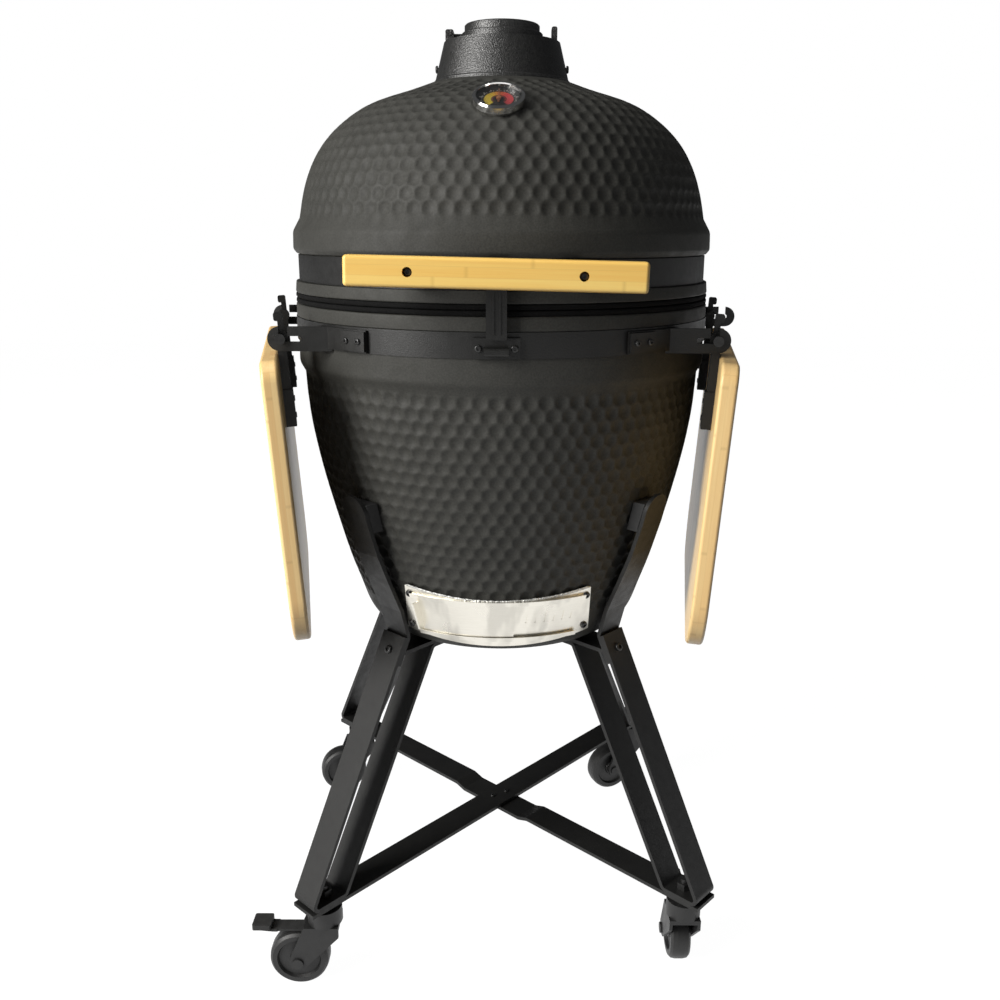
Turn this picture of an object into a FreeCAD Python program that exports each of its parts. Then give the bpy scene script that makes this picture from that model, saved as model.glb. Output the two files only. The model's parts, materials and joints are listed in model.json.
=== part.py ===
import FreeCAD, Part
import math
import os

# Kamado charcoal grill on a wheeled four-leg stand.
# Millimetres, +Z up, origin on the floor below the centre of the bowl, front of the grill along -Y.

V = FreeCAD.Vector
Z = V(0, 0, 1)
O = V(0, 0, 0)

doc = FreeCAD.newDocument("KamadoGrill")
sheet = doc.addObject("Spreadsheet::Sheet", "Sizes")

SIZES = [
    ("rim_radius", 262.4, "outer radius of bowl and lid where they meet"),
    ("flange_radius", 263.0, "outer radius of the overhanging skirt of the lid"),
    ("bowl_foot_z", 425.0, "underside of the bowl above the floor"),
    ("bowl_rim_z", 853.2, "top face of the bowl"),
    ("lid_rim_z", 866.2, "bottom face of the lid"),
    ("lid_top_z", 1112.0, "flat neck on top of the dome"),
    ("lower_band_radius", 263.0, "outside of the band round the bowl"),
    ("upper_band_radius", 257.4, "outside of the band round the lid"),
    ("band_low_z", 809.0, "bottom edge of the lower band"),
    ("band_high_z", 880.3, "bottom edge of the upper band"),
    ("lower_band_height", 28.0, "width of the lower band"),
    ("upper_band_height", 31.0, "width of the upper band"),
    ("hinge_y", 300.0, "lid hinge axis behind the centre"),
    ("hinge_z", 862.0, "lid hinge axis above the floor"),
    ("handle_length", 305.0, "bamboo handle bar"),
    ("handle_height", 31.0, "bamboo handle bar"),
    ("handle_depth", 22.0, "bamboo handle bar"),
    ("handle_back_y", 289.0, "rear face of the bar ahead of the centre"),
    ("handle_z", 899.0, "centre of the bar"),
    ("handle_bolt_x", 88.0, "bolts left and right of centre"),
    ("handle_tilt", 1.2, "degrees, right end low"),
    ("latch_width", 22.0, "drop latch under the handle"),
    ("collar_radius", 83.4, "foot of the cast chimney collar"),
    ("collar_top_radius", 71.1, "top of the cast chimney collar"),
    ("collar_top_z", 1160.0, "top face of the chimney collar"),
    ("gauge_radius", 28.1, "thermometer bezel"),
    ("gauge_tilt", 55.4, "degrees from level of the thermometer normal"),
    ("draft_z", 477.0, "middle height of the lower vent"),
    ("draft_radius", 192.5, "back face of the vent frame at its middle height"),
    ("draft_slope", 0.376, "radius gained per height of the vent cone"),
    ("draft_half_width", 114.0, "half width of the vent frame"),
    ("strap_width", 40.0, "flat steel straps of the stand"),
    ("strap_thick", 5.0, "flat steel straps of the stand"),
    ("brace_width", 40.0, "flat cross braces"),
    ("stem_reach", 326.0, "caster stem from the centre along the diagonal"),
    ("cart_turn", 3.0, "degrees the stand is turned under the bowl"),
    ("plate_z", 122.0, "underside of the bottom plates of the legs"),
    ("wheel_radius", 38.0, "three inch caster wheel"),
    ("wheel_width", 26.0, "caster wheel"),
    ("trail", 34.0, "axle behind the swivel axis"),
    ("pivot_z", 820.5, "folding shelf pivot height"),
    ("pivot_front_x", 250.0, "front shelf pivots"),
    ("pivot_front_y", -180.0, "front shelf pivots"),
    ("pivot_rear_y", 145.0, "rear shelf pivots"),
    ("pivot_rear_x", 322.0, "outer end of the rear slots"),
    ("pivot_rear_x_in", 302.0, "rear right pin, slid inward in its slot"),
    ("slot_length", 22.0, "level run of the bracket slots"),
    ("shelf_length", 445.0, "bamboo shelf, front to back"),
    ("shelf_depth", 350.0, "bamboo shelf, hinge side to free edge"),
    ("shelf_thick", 20.0, "bamboo shelf"),
    ("shelf_lean", 3.5, "degrees the hanging shelf leans inward"),
]

for row, (alias, number, note) in enumerate(SIZES, start=1):
    sheet.set("A%d" % row, alias)
    sheet.set("B%d" % row, repr(number))
    sheet.set("C%d" % row, note)
    sheet.setAlias("B%d" % row, alias)
doc.recompute()


def size(alias):
    return float(sheet.get(alias))


# ---------------------------------------------------------------- shape helpers

def box(x0, x1, y0, y1, z0, z1):
    return Part.makeBox(x1 - x0, y1 - y0, z1 - z0, V(x0, y0, z0))


def cyl(radius, start, end):
    a = V(*start)
    b = V(*end)
    return Part.makeCylinder(radius, (b - a).Length, a, b - a)


def ring(r0, r1, z0, z1):
    return cyl(r1, (0, 0, z0), (0, 0, z1)).cut(cyl(r0, (0, 0, z0 - 1), (0, 0, z1 + 1)))


def wedge(radius, z0, z1, az0, az1):
    body = Part.makeCylinder(radius, z1 - z0, V(0, 0, z0), Z, az1 - az0)
    body.rotate(O, Z, az0)
    return body


def ring_sector(r0, r1, z0, z1, az0, az1):
    return wedge(r1, z0, z1, az0, az1).cut(cyl(r0, (0, 0, z0 - 1), (0, 0, z1 + 1)))


def turned(runs, sweep=360.0, start=0.0):
    # Each run is a list of (radius, height); two points make a line, more make a smooth curve.
    edges = []
    for run in runs:
        pts = [V(r, 0, z) for r, z in run]
        if len(pts) == 2:
            edges.append(Part.makeLine(pts[0], pts[1]))
        else:
            curve = Part.BSplineCurve()
            curve.interpolate(pts)
            edges.append(curve.toShape())
    face = Part.Face(Part.Wire(edges))
    body = face.revolve(O, Z, sweep)
    body.rotate(O, Z, start)
    return as_solid(body)


def as_solid(shape):
    solid = shape if shape.ShapeType == "Solid" else shape.Solids[0]
    if solid.Volume < 0:
        solid.reverse()
    return solid


def lathe(points, sweep=360.0, start=0.0):
    runs = []
    for i, p in enumerate(points):
        runs.append([p, points[(i + 1) % len(points)]])
    return turned(runs, sweep, start)


def extruded(points, axis_vector):
    closed = [V(*p) for p in points]
    closed.append(closed[0])
    return Part.Face(Part.makePolygon(closed)).extrude(V(*axis_vector))


def bent_strap(path, thick, width, bend=4.0):
    # Flat bar bent along path, given as (distance, height); thickness lies to the right of the path.
    first_side = []
    second_side = []

    def point(p):
        return V(p[0], -width / 2.0, p[1])

    def shifted(p, direction, amount):
        return (p[0] + direction[0] * amount, p[1] + direction[1] * amount)

    def unit(a, b):
        length = math.hypot(b[0] - a[0], b[1] - a[1])
        return ((b[0] - a[0]) / length, (b[1] - a[1]) / length)

    def right(d):
        return (d[1], -d[0])

    previous = path[0]
    previous_off = shifted(path[0], right(unit(path[0], path[1])), thick)
    start_cap = (previous, previous_off)
    for i in range(1, len(path) - 1):
        d0 = unit(path[i - 1], path[i])
        d1 = unit(path[i], path[i + 1])
        cross = d0[0] * d1[1] - d0[1] * d1[0]
        angle = math.asin(max(-1.0, min(1.0, abs(cross))))
        if d0[0] * d1[0] + d0[1] * d1[1] < 0:
            angle = math.pi - angle
        inward = cross < 0
        rho = bend + thick if inward else bend
        rho_off = bend if inward else bend + thick
        reach = rho * math.tan(angle / 2.0)
        p0 = shifted(path[i], d0, -reach)
        p1 = shifted(path[i], d1, reach)
        sign = 1.0 if inward else -1.0
        centre = shifted(p0, right(d0), sign * rho)
        towards = unit(centre, path[i])
        mid = shifted(centre, towards, rho)
        mid_off = shifted(centre, towards, rho_off)
        q0 = shifted(p0, right(d0), thick)
        q1 = shifted(p1, right(d1), thick)
        first_side.append(Part.makeLine(point(previous), point(p0)))
        first_side.append(Part.Arc(point(p0), point(mid), point(p1)).toShape())
        second_side.append(Part.makeLine(point(previous_off), point(q0)))
        second_side.append(Part.Arc(point(q0), point(mid_off), point(q1)).toShape())
        previous = p1
        previous_off = q1
    end = path[-1]
    end_off = shifted(end, right(unit(path[-2], path[-1])), thick)
    first_side.append(Part.makeLine(point(previous), point(end)))
    second_side.append(Part.makeLine(point(previous_off), point(end_off)))
    caps = [Part.makeLine(point(start_cap[0]), point(start_cap[1])), Part.makeLine(point(end), point(end_off))]
    wire = Part.Wire(Part.__sortEdges__(first_side + second_side + caps))
    return Part.Face(wire).extrude(V(0, width, 0))


def hexagon(across_flats, height, base, axis):
    radius = across_flats / math.sqrt(3.0)
    pts = []
    for k in range(7):
        pts.append(V(radius * math.cos(math.radians(60 * k)), radius * math.sin(math.radians(60 * k)), 0))
    nut = Part.Face(Part.makePolygon(pts)).extrude(V(0, 0, height))
    nut.Placement = FreeCAD.Placement(V(*base), FreeCAD.Rotation(Z, V(*axis)))
    return nut


def domed_bolt(radius, head_height, base, axis, shank_radius, shank_length):
    # Button head standing on base, shank running back from it.
    n = V(*axis)
    n.normalize()
    b = V(*base)
    head = Part.makeCylinder(radius, head_height, b, n)
    edge = [e for e in head.Edges if abs((e.CenterOfMass - b).dot(n) - head_height) < 1e-6]
    head = head.makeFillet(head_height * 0.6, edge)
    socket_start = b + n * (head_height * 0.45)
    head = head.cut(Part.makeCylinder(radius * 0.42, head_height, socket_start, n))
    shank = Part.makeCylinder(shank_radius, shank_length, b - n * shank_length, n)
    return head.fuse(shank)


def rounded(shape, radius, axis=None):
    # Fillet every straight edge, or only those parallel to axis.
    edges = []
    for e in shape.Edges:
        if not isinstance(e.Curve, Part.Line):
            continue
        d = e.tangentAt(e.FirstParameter)
        if axis is None or abs(abs(d.dot(V(*axis))) - 1.0) < 1e-6:
            edges.append(e)
    return shape.makeFillet(radius, edges)


def fused(shapes):
    body = shapes[0]
    if len(shapes) > 1:
        body = body.multiFuse(shapes[1:])
    return body.removeSplitter()


def turned_about(shape, angle, centre=O, axis=Z):
    copy = shape.copy()
    copy.rotate(centre, axis, angle)
    return copy


def mirrored_x(shape):
    return shape.mirror(O, V(1, 0, 0))


nodes = {}


def add(name, shapes):
    if not isinstance(shapes, list):
        shapes = [shapes]
    solids = []
    for s in shapes:
        solids.extend(s.Solids)
    shape = solids[0] if len(solids) == 1 else Part.makeCompound(solids)
    item = doc.addObject("Part::Feature", name)
    item.Label = name
    item.Shape = shape
    nodes[name] = item
    return shape


# ---------------------------------------------------------------- ceramic bowl and lid

rim_r = size("rim_radius")
foot_z = size("bowl_foot_z")
bowl_top = size("bowl_rim_z")
lid_bottom = size("lid_rim_z")
lid_top = size("lid_top_z")
low_band_r = size("lower_band_radius")
low_band_z = size("band_low_z")
low_band_h = size("lower_band_height")
up_band_r = size("upper_band_radius")
up_band_z = size("band_high_z")
up_band_h = size("upper_band_height")
flange_r = size("flange_radius")

bowl_curve = [(166.0, foot_z + 8.2), (176.5, 443.0), (192.0, 477.0), (204.5, 513.0), (218.0, 560.0),
              (233.6, 620.0), (244.4, 670.0), (252.0, 720.0), (255.2, 768.4)]
bowl_outside = [
    [(0, foot_z), (142.0, foot_z)],
    [(142.0, foot_z), bowl_curve[0]],
    bowl_curve,
    [bowl_curve[-1], (261.6, 780.0)],
    [(261.6, 780.0), (261.0, low_band_z - 0.5)],
    [(261.0, low_band_z - 0.5), (261.0, low_band_z + low_band_h + 0.5)],
    [(261.0, low_band_z + low_band_h + 0.5), (rim_r, low_band_z + low_band_h + 0.5)],
    [(rim_r, low_band_z + low_band_h + 0.5), (rim_r, bowl_top)],
]
bowl_inside = [
    [(rim_r, bowl_top), (232.0, bowl_top)],
    [(232.0, bowl_top), (229.0, 770.0), (224.0, 720.0), (216.0, 670.0), (205.0, 620.0), (189.0, 560.0),
     (167.0, 505.0), (143.0, 462.0), (128.0, 450.0)],
    [(128.0, 450.0), (0, 450.0)],
    [(0, 450.0), (0, foot_z)],
]
base_shell = turned(bowl_outside + bowl_inside)

groove_z0 = up_band_z - 0.5
groove_z1 = up_band_z + up_band_h + 0.7
groove_r = up_band_r - 2.8
dome_curve = [(253.6, 954.6), (247.3, 985.2), (236.7, 1015.1), (218.9, 1043.9), (195.2, 1066.8),
              (166.4, 1084.9), (128.2, 1098.4), (90.0, lid_top)]
lid_shell = turned([
    [(233.0, lid_bottom), (rim_r, lid_bottom)],
    [(rim_r, lid_bottom), (261.2, groove_z0)],
    [(261.2, groove_z0), (groove_r, groove_z0)],
    [(groove_r, groove_z0), (groove_r, groove_z1)],
    [(groove_r, groove_z1), (flange_r - 4.0, groove_z1 + 1.0)],
    [(flange_r - 4.0, groove_z1 + 1.0), (flange_r, groove_z1 + 6.0)],
    [(flange_r, groove_z1 + 6.0), (262.4, 939.0)],
    [(262.4, 939.0), dome_curve[0]],
    dome_curve,
    [dome_curve[-1], (60.0, lid_top)],
    [(60.0, lid_top), (60.0, lid_top - 20.0)],
    [(60.0, lid_top - 20.0), (110.0, 1086.0), (150.0, 1072.0), (179.0, 1051.0), (201.0, 1026.0),
     (215.5, 998.0), (225.0, 966.0), (231.0, 930.0), (233.0, lid_bottom)],
])

felt = 6.4
base_gasket = ring(238.0, 261.4, bowl_top, bowl_top + felt)
lid_gasket = ring(238.0, 261.4, lid_bottom - felt, lid_bottom)

# ---------------------------------------------------------------- fire parts inside the bowl

firebox = lathe([(88, 450), (106, 450), (126, 470), (150, 510), (174, 560), (189, 615), (196, 655),
                 (176, 655), (170, 618), (156, 568), (134, 522), (112, 488), (88, 488)])
firebox = firebox.cut(box(-38, 38, -140, -60, 449, 478))
fire_ring = ring(178.0, 198.0, 655.0, 800.0)
for k in range(3):
    notch = box(150, 210, -18, 18, 782, 801)
    fire_ring = fire_ring.cut(turned_about(notch, 30 + 120 * k))
charcoal_grate = cyl(108.0, (0, 0, 488), (0, 0, 494))
for k in range(-4, 5):
    half = math.sqrt(96.0 ** 2 - (k * 20.0) ** 2)
    charcoal_grate = charcoal_grate.cut(box(-half, half, k * 20 - 5, k * 20 + 5, 480, 500))

grid_z = 804.4
grid_parts = [lathe([(188, grid_z - 2.2), (189.8, grid_z - 4), (194.2, grid_z - 4), (196, grid_z - 2.2),
                     (196, grid_z + 2.2), (194.2, grid_z + 4), (189.8, grid_z + 4), (188, grid_z + 2.2)])]
for k in range(-7, 8):
    half = math.sqrt(192.0 ** 2 - (k * 24.0) ** 2)
    grid_parts.append(cyl(2.5, (k * 24.0, -half, grid_z), (k * 24.0, half, grid_z)))
for y in (-80.0, 80.0):
    half = math.sqrt(192.0 ** 2 - y ** 2)
    grid_parts.append(cyl(3.0, (-half, y, grid_z - 1.0), (half, y, grid_z - 1.0)))
cooking_grid = grid_parts[0].multiFuse(grid_parts[1:])

# ---------------------------------------------------------------- steel bands

lower_band = ring(261.0, low_band_r, low_band_z, low_band_z + low_band_h)
upper_band = ring(groove_r, up_band_r, up_band_z, up_band_z + up_band_h)

latch_w = size("latch_width")
latch_pin_y = -267.0
latch_pin_z = 900.0
ears = []
for side in (-1, 1):
    x0 = side * (latch_w / 2.0 + 1.0)
    x1 = side * (latch_w / 2.0 + 4.0)
    lo, hi = min(x0, x1), max(x0, x1)
    ear = box(lo, hi, latch_pin_y, -255.0, latch_pin_z - 6, latch_pin_z + 6)
    ear = ear.fuse(cyl(6.0, (lo, latch_pin_y, latch_pin_z), (hi, latch_pin_y, latch_pin_z)))
    ears.append(ear)
latch_pin = cyl(2.5, (-17.0, latch_pin_y, latch_pin_z), (17.0, latch_pin_y, latch_pin_z))
ear_ends = fused(ears).cut(cyl(up_band_r, (0, 0, 870), (0, 0, 930)))
upper_band = upper_band.fuse(ear_ends).fuse(latch_pin).removeSplitter()

# ---------------------------------------------------------------- rear hinge

hinge_y = size("hinge_y")
hinge_z = size("hinge_z")
pin_r = 4.0
hinge_upper = ring_sector(up_band_r, up_band_r + 4.0, up_band_z + 1.0, up_band_z + up_band_h - 1.0, 76, 104)
hinge_lower = ring_sector(low_band_r, low_band_r + 4.0, low_band_z + 1.0, low_band_z + low_band_h - 1.0, 76, 104)
for side in (-1, 1):
    x0, x1 = sorted((side * 36.0, side * 42.0))
    profile = [(x0, 252, 882), (x0, 252, 908), (x0, 268, 908), (x0, 309, 866), (x0, 309, 856), (x0, 292, 856),
               (x0, 272, 882)]
    arm = extruded(profile, (x1 - x0, 0, 0))
    arm = arm.cut(cyl(up_band_r, (0, 0, 870), (0, 0, 930)))
    hinge_upper = hinge_upper.fuse(arm)
    x0, x1 = sorted((side * 29.0, side * 35.0))
    profile = [(x0, 258, 812), (x0, 258, 834), (x0, 272, 836), (x0, 291, 868), (x0, 309, 868), (x0, 309, 854),
               (x0, 280, 812)]
    lug = extruded(profile, (x1 - x0, 0, 0))
    lug = lug.cut(cyl(low_band_r, (0, 0, 800), (0, 0, 870)))
    hinge_lower = hinge_lower.fuse(lug)
hinge_upper = hinge_upper.removeSplitter()
hinge_lower = hinge_lower.removeSplitter()
hinge_upper = hinge_upper.cut(cyl(pin_r + 0.06, (-50, hinge_y, hinge_z), (50, hinge_y, hinge_z)))
hinge_lower = hinge_lower.cut(cyl(pin_r + 0.02, (-50, hinge_y, hinge_z), (50, hinge_y, hinge_z)))
hinge_pin = cyl(pin_r, (-43.0, hinge_y, hinge_z), (43.0, hinge_y, hinge_z))
hinge_pin = hinge_pin.fuse(cyl(7.0, (-46.0, hinge_y, hinge_z), (-42.6, hinge_y, hinge_z)))
hinge_pin = hinge_pin.fuse(cyl(7.0, (42.6, hinge_y, hinge_z), (46.0, hinge_y, hinge_z))).removeSplitter()

coil_r = 7.0
wire_r = 1.4
springs = []
for x0 in (-27.0, 5.0):
    helix = Part.makeHelix(3.2, 22.4, coil_r)
    circle = Part.Wire(Part.makeCircle(wire_r, V(coil_r, 0, 0), V(0, 1, 0)))
    coil = Part.Wire(helix).makePipeShell([circle], True, True)
    coil.Placement = FreeCAD.Placement(V(x0, hinge_y, hinge_z), FreeCAD.Rotation(Z, V(1, 0, 0)))
    springs.append(coil)

# ---------------------------------------------------------------- handle

handle_l = size("handle_length")
handle_h = size("handle_height")
handle_d = size("handle_depth")
handle_y = -size("handle_back_y")
handle_z = size("handle_z")
bolt_x = size("handle_bolt_x")
tilt = size("handle_tilt")
handle_centre = V(0, handle_y, handle_z)

bar = box(-handle_l / 2, handle_l / 2, handle_y - handle_d, handle_y, handle_z - handle_h / 2, handle_z + handle_h / 2)
bar = rounded(bar, 4.0)
handle_bolts = []
for side in (-1, 1):
    x = side * bolt_x
    bar = bar.cut(cyl(5.0, (x, handle_y - handle_d - 1, handle_z), (x, handle_y - handle_d + 9, handle_z)))
    bar = bar.cut(cyl(3.0, (x, handle_y - handle_d, handle_z), (x, handle_y + 1, handle_z)))
    base = (x, handle_y - handle_d + 9, handle_z)
    handle_bolts.append(domed_bolt(4.7, 4.0, base, (0, -1, 0), 3.0, handle_d - 9 + 10))
bar = turned_about(bar, tilt, handle_centre, V(0, 1, 0))
handle_bolts = [turned_about(b, tilt, handle_centre, V(0, 1, 0)) for b in handle_bolts]

handle_brackets = []
for side in (-1, 1):
    x = side * bolt_x
    az = -90.0 + side * math.degrees(math.asin(bolt_x / up_band_r))
    foot = ring_sector(up_band_r, up_band_r + 3.0, up_band_z + 3.0, up_band_z + up_band_h - 3.0, az - 5.0, az + 5.0)
    web = box(x - 3.0, x + 3.0, handle_y + 2.0, -225.0, up_band_z + 5.0, up_band_z + up_band_h - 4.0)
    web = web.cut(cyl(up_band_r, (0, 0, 870), (0, 0, 930)))
    pad = box(x - 11.0, x + 11.0, handle_y, handle_y + 3.0, handle_z - 11.0, handle_z + 11.0)
    pad = turned_about(rounded(pad, 3.0, (0, 1, 0)), tilt, handle_centre, V(0, 1, 0))
    handle_brackets.append(fused([foot, web, pad]).cut(fused(handle_bolts)))

# ---------------------------------------------------------------- drop latch and keeper

latch_y0 = latch_pin_y - 6.5
latch_y1 = latch_pin_y - 3.0
latch = rounded(box(-latch_w / 2, latch_w / 2, latch_y0, latch_y1, 830.0, latch_pin_z), 2.0, (0, 1, 0))
for x in (-3.5, 3.5):
    latch = latch.fuse(box(x - 1.2, x + 1.2, latch_y0 - 1.3, latch_y0, 836.0, 886.0))
latch = latch.fuse(cyl(6.5, (-latch_w / 2, latch_pin_y, latch_pin_z), (latch_w / 2, latch_pin_y, latch_pin_z)))
latch = latch.removeSplitter()
latch = latch.cut(cyl(2.56, (-20, latch_pin_y, latch_pin_z), (20, latch_pin_y, latch_pin_z)))

keeper = ring_sector(low_band_r, low_band_r + 4.0, low_band_z + 0.5, low_band_z + 22.5, -95.4, -84.6)
lip = box(-13.0, 13.0, -276.0, -262.0, low_band_z + 4.0, low_band_z + 13.0)
lip = rounded(lip, 2.5, (1, 0, 0)).cut(cyl(low_band_r, (0, 0, 800), (0, 0, 840)))
keeper = keeper.fuse(lip).removeSplitter()
band_bolts = []
for x in (-19.0, 19.0):
    ang = math.degrees(math.asin(x / low_band_r))
    n = (math.sin(math.radians(ang)), -math.cos(math.radians(ang)), 0)
    r = low_band_r + 4.0
    band_bolts.append(domed_bolt(4.0, 2.6, (n[0] * r, n[1] * r, low_band_z + 11.5), n, 2.0, 3.5))

# ---------------------------------------------------------------- chimney collar, flip cap and dial

collar_r = size("collar_radius")
collar_tr = size("collar_top_radius")
collar_tz = size("collar_top_z")
c0 = lid_top
collar = lathe([(76.5, c0), (collar_r, c0), (collar_r, c0 + 4.0), (collar_r - 1.5, c0 + 5.5),
                (collar_tr, collar_tz), (58.2, collar_tz), (58.2, collar_tz - 4.0), (50.0, collar_tz - 4.0),
                (50.0, collar_tz - 9.0), (62.0, collar_tz - 9.0)])
cap_x = -63.5
cap_z = collar_tz + 9.5
for y0, y1 in ((-13.0, -6.3), (6.3, 13.0)):
    post = box(cap_x - 5.0, cap_x + 5.0, y0, y1, collar_tz - 8.0, cap_z + 5.0)
    post = rounded(post, 2.5, (0, 1, 0))
    collar = collar.fuse(post)
stop = rounded(box(60.0, 67.0, -8.0, 8.0, collar_tz - 8.0, collar_tz + 18.5), 2.5, (0, 1, 0))
collar = collar.fuse(stop).removeSplitter()
cap_pin = cyl(2.5, (cap_x, -14.5, cap_z), (cap_x, 14.5, cap_z))
collar = collar.fuse(cap_pin).removeSplitter()
side_screws = []
for side in (-1, 1):
    screw = domed_bolt(4.5, 3.0, (side * 79.0, 0, 1131.0), (side, 0, 0), 2.5, 6.0)
    side_screws.append(screw)
    collar = collar.cut(cyl(4.6, (side * 79.0, 0, 1131.0), (side * 90.0, 0, 1131.0)))
    collar = collar.cut(cyl(2.5, (side * 60.0, 0, 1131.0), (side * 80.0, 0, 1131.0)))

cap_low = collar_tz - 3.7
cap_top = collar_tz + 11.0
vent_cap = lathe([(4.06, collar_tz - 3.0), (9.0, collar_tz - 3.0), (9.0, cap_top - 5.0), (45.0, cap_top - 5.0),
                  (45.0, cap_low), (57.6, cap_low), (57.6, collar_tz + 1.5), (50.6, collar_tz + 1.5),
                  (49.6, collar_tz + 2.5), (49.6, cap_top - 1.0), (48.6, cap_top), (4.06, cap_top)])
lug = box(cap_x, -46.0, -6.0, 6.0, collar_tz + 4.5, cap_z + 1.0)
knuckle = cyl(4.6, (cap_x, -6.0, cap_z), (cap_x, 6.0, cap_z))
vent_cap = vent_cap.fuse(lug).fuse(knuckle).removeSplitter()
vent_cap = vent_cap.cut(cyl(2.56, (cap_x, -20, cap_z), (cap_x, 20, cap_z)))
dial_z = cap_top + 0.5
vent_dial = lathe([(0, dial_z), (45.8, dial_z), (45.8, dial_z + 7.8), (44.6, dial_z + 9.0), (42.2, dial_z + 9.0),
                   (41.0, dial_z + 7.8), (41.0, dial_z + 4.5), (15.0, dial_z + 4.5), (13.0, dial_z + 9.0),
                   (0, dial_z + 9.0)])
for k in range(5):
    slot = ring_sector(17.0, 39.0, collar_tz - 2.0, dial_z + 6.0, -16.0, 16.0)
    vent_cap = vent_cap.cut(turned_about(slot, 72 * k))
    vent_dial = vent_dial.cut(turned_about(slot, 72 * k + 36))
knob = rounded(box(2.0, 14.0, -5.0, 5.0, dial_z + 8.0, dial_z + 14.0), 2.0, (0, 0, 1))
shaft = cyl(4.0, (0, 0, collar_tz - 7.0), (0, 0, dial_z + 1.0))
washer = cyl(9.0, (0, 0, collar_tz - 7.0), (0, 0, collar_tz - 3.5))
vent_dial = fused([vent_dial, knob, shaft, washer])

# ---------------------------------------------------------------- thermometer on the dome

gauge_r = size("gauge_radius")
g_tilt = math.radians(size("gauge_tilt"))
g_point = V(0, -186.4, 1072.6)
g_place = FreeCAD.Placement(g_point, FreeCAD.Rotation(Z, V(0, -math.cos(g_tilt), math.sin(g_tilt))))


def on_gauge(shape):
    copy = shape.copy()
    copy.Placement = g_place
    return copy


bezel = lathe([(4.2, -2.5), (gauge_r - 2.0, -2.5), (gauge_r, 1.0), (gauge_r, 7.4), (gauge_r - 1.6, 9.0),
               (gauge_r - 3.6, 9.0), (gauge_r - 4.0, 7.6), (gauge_r - 2.6, 7.6), (gauge_r - 2.6, 1.0), (4.2, 1.0)])
dial_plate = ring(1.3, gauge_r - 2.8, 1.0, 2.0)
glass = cyl(gauge_r - 2.8, (0, 0, 5.9), (0, 0, 7.5))
probe = cyl(4.0, (0, 0, -110.0), (0, 0, -1.0)).fuse(ring(3.9, 10.0, -38.0, -30.0))
bezel = fused([bezel, cyl(6.0, (0, 0, -2.5), (0, 0, -1.0)), probe])
needle = cyl(2.6, (0, 0, 2.6), (0, 0, 4.6)).fuse(cyl(1.24, (0, 0, 1.2), (0, 0, 3.0)))
blade = extruded([(-1.1, -7.0, 2.8), (1.1, -7.0, 2.8), (0.35, 20.0, 2.8), (-0.35, 20.0, 2.8)], (0, 0, 1.1))
needle = turned_about(needle.fuse(blade).removeSplitter(), 60.0)
seat = cyl(gauge_r + 0.6, (0, 0, -2.5), (0, 0, 30.0)).fuse(cyl(6.0, (0, 0, -60.0), (0, 0, 0)))
lid_shell = lid_shell.cut(on_gauge(seat))

# ---------------------------------------------------------------- lower draft vent

d_z = size("draft_z")
d_r = size("draft_radius")
d_k = size("draft_slope")
d_w = size("draft_half_width")


def draft_cone(z):
    return d_r + d_k * (z - d_z)


def cone_sheet(off0, off1, z0, z1, az0, az1):
    return lathe([(draft_cone(z0) + off0, z0), (draft_cone(z0) + off1, z0),
                  (draft_cone(z1) + off1, z1), (draft_cone(z1) + off0, z1)], az1 - az0, az0)


def draft_outline(margin):
    # Outline of the vent frame as seen from the front: straight sides, bowed top and bottom.
    w = d_w + margin
    top_mid, top_end = 510.5 + margin, 521.5 + margin
    low_mid, low_end = 443.5 - margin, 454.5 - margin
    y = -120.0
    edges = [
        Part.Arc(V(-w, y, top_end), V(0, y, top_mid), V(w, y, top_end)).toShape(),
        Part.makeLine(V(w, y, top_end), V(w, y, low_end)),
        Part.Arc(V(w, y, low_end), V(0, y, low_mid), V(-w, y, low_end)).toShape(),
        Part.makeLine(V(-w, y, low_end), V(-w, y, top_end)),
    ]
    return Part.Face(Part.Wire(edges)).extrude(V(0, -130.0, 0))


plate = cone_sheet(0.0, 2.0, 436.0, 528.0, -140, -40).common(draft_outline(0.0))
rail_low_z = 455.0
rail_top_z = 509.0
rails = [
    cone_sheet(2.0, 5.6, rail_low_z - 3.0, rail_low_z, -121, -59),
    cone_sheet(4.5, 5.6, rail_low_z - 3.0, rail_low_z + 3.0, -121, -59),
    cone_sheet(2.0, 5.6, rail_top_z, rail_top_z + 3.0, -121, -59),
    cone_sheet(4.5, 5.6, rail_top_z - 3.0, rail_top_z + 3.0, -121, -59),
]
draft_frame = fused([plate] + rails)
window = cone_sheet(-60.0, 3.0, rail_low_z + 7.0, rail_top_z - 7.0, -115.0, -91.0)
draft_frame = draft_frame.cut(window)
for k in range(6):
    az = -80.0 + 3.4 * k
    high = 14.0 if k % 2 == 0 else 8.0
    draft_frame = draft_frame.cut(cone_sheet(1.4, 2.2, d_z + 2.0, d_z + 2.0 + high, az, az + 0.45))
draft_door = cone_sheet(2.6, 3.9, rail_low_z + 0.6, rail_top_z - 0.6, -119.0, -84.0)
tab = cone_sheet(2.6, 15.0, rail_low_z + 8.0, rail_top_z - 8.0, -119.0, -118.3)
draft_door = draft_door.fuse(tab).removeSplitter()
draft_screen = cone_sheet(-3.6, -2.2, rail_low_z + 3.0, rail_top_z - 3.0, -117.5, -88.5)
for i in range(12):
    for j in range(4):
        z = rail_low_z + 10.0 + 9.2 * j
        az = -114.6 + 2.0 * i
        draft_screen = draft_screen.cut(cone_sheet(-5.0, 0.0, z, z + 6.0, az, az + 1.2))
draft_seat = cone_sheet(0.0, 40.0, 430.0, 532.0, -145, -35).common(draft_outline(1.5))
screen_seat = cone_sheet(-3.8, 40.0, rail_low_z + 2.8, rail_top_z - 2.8, -117.7, -88.3)
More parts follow.
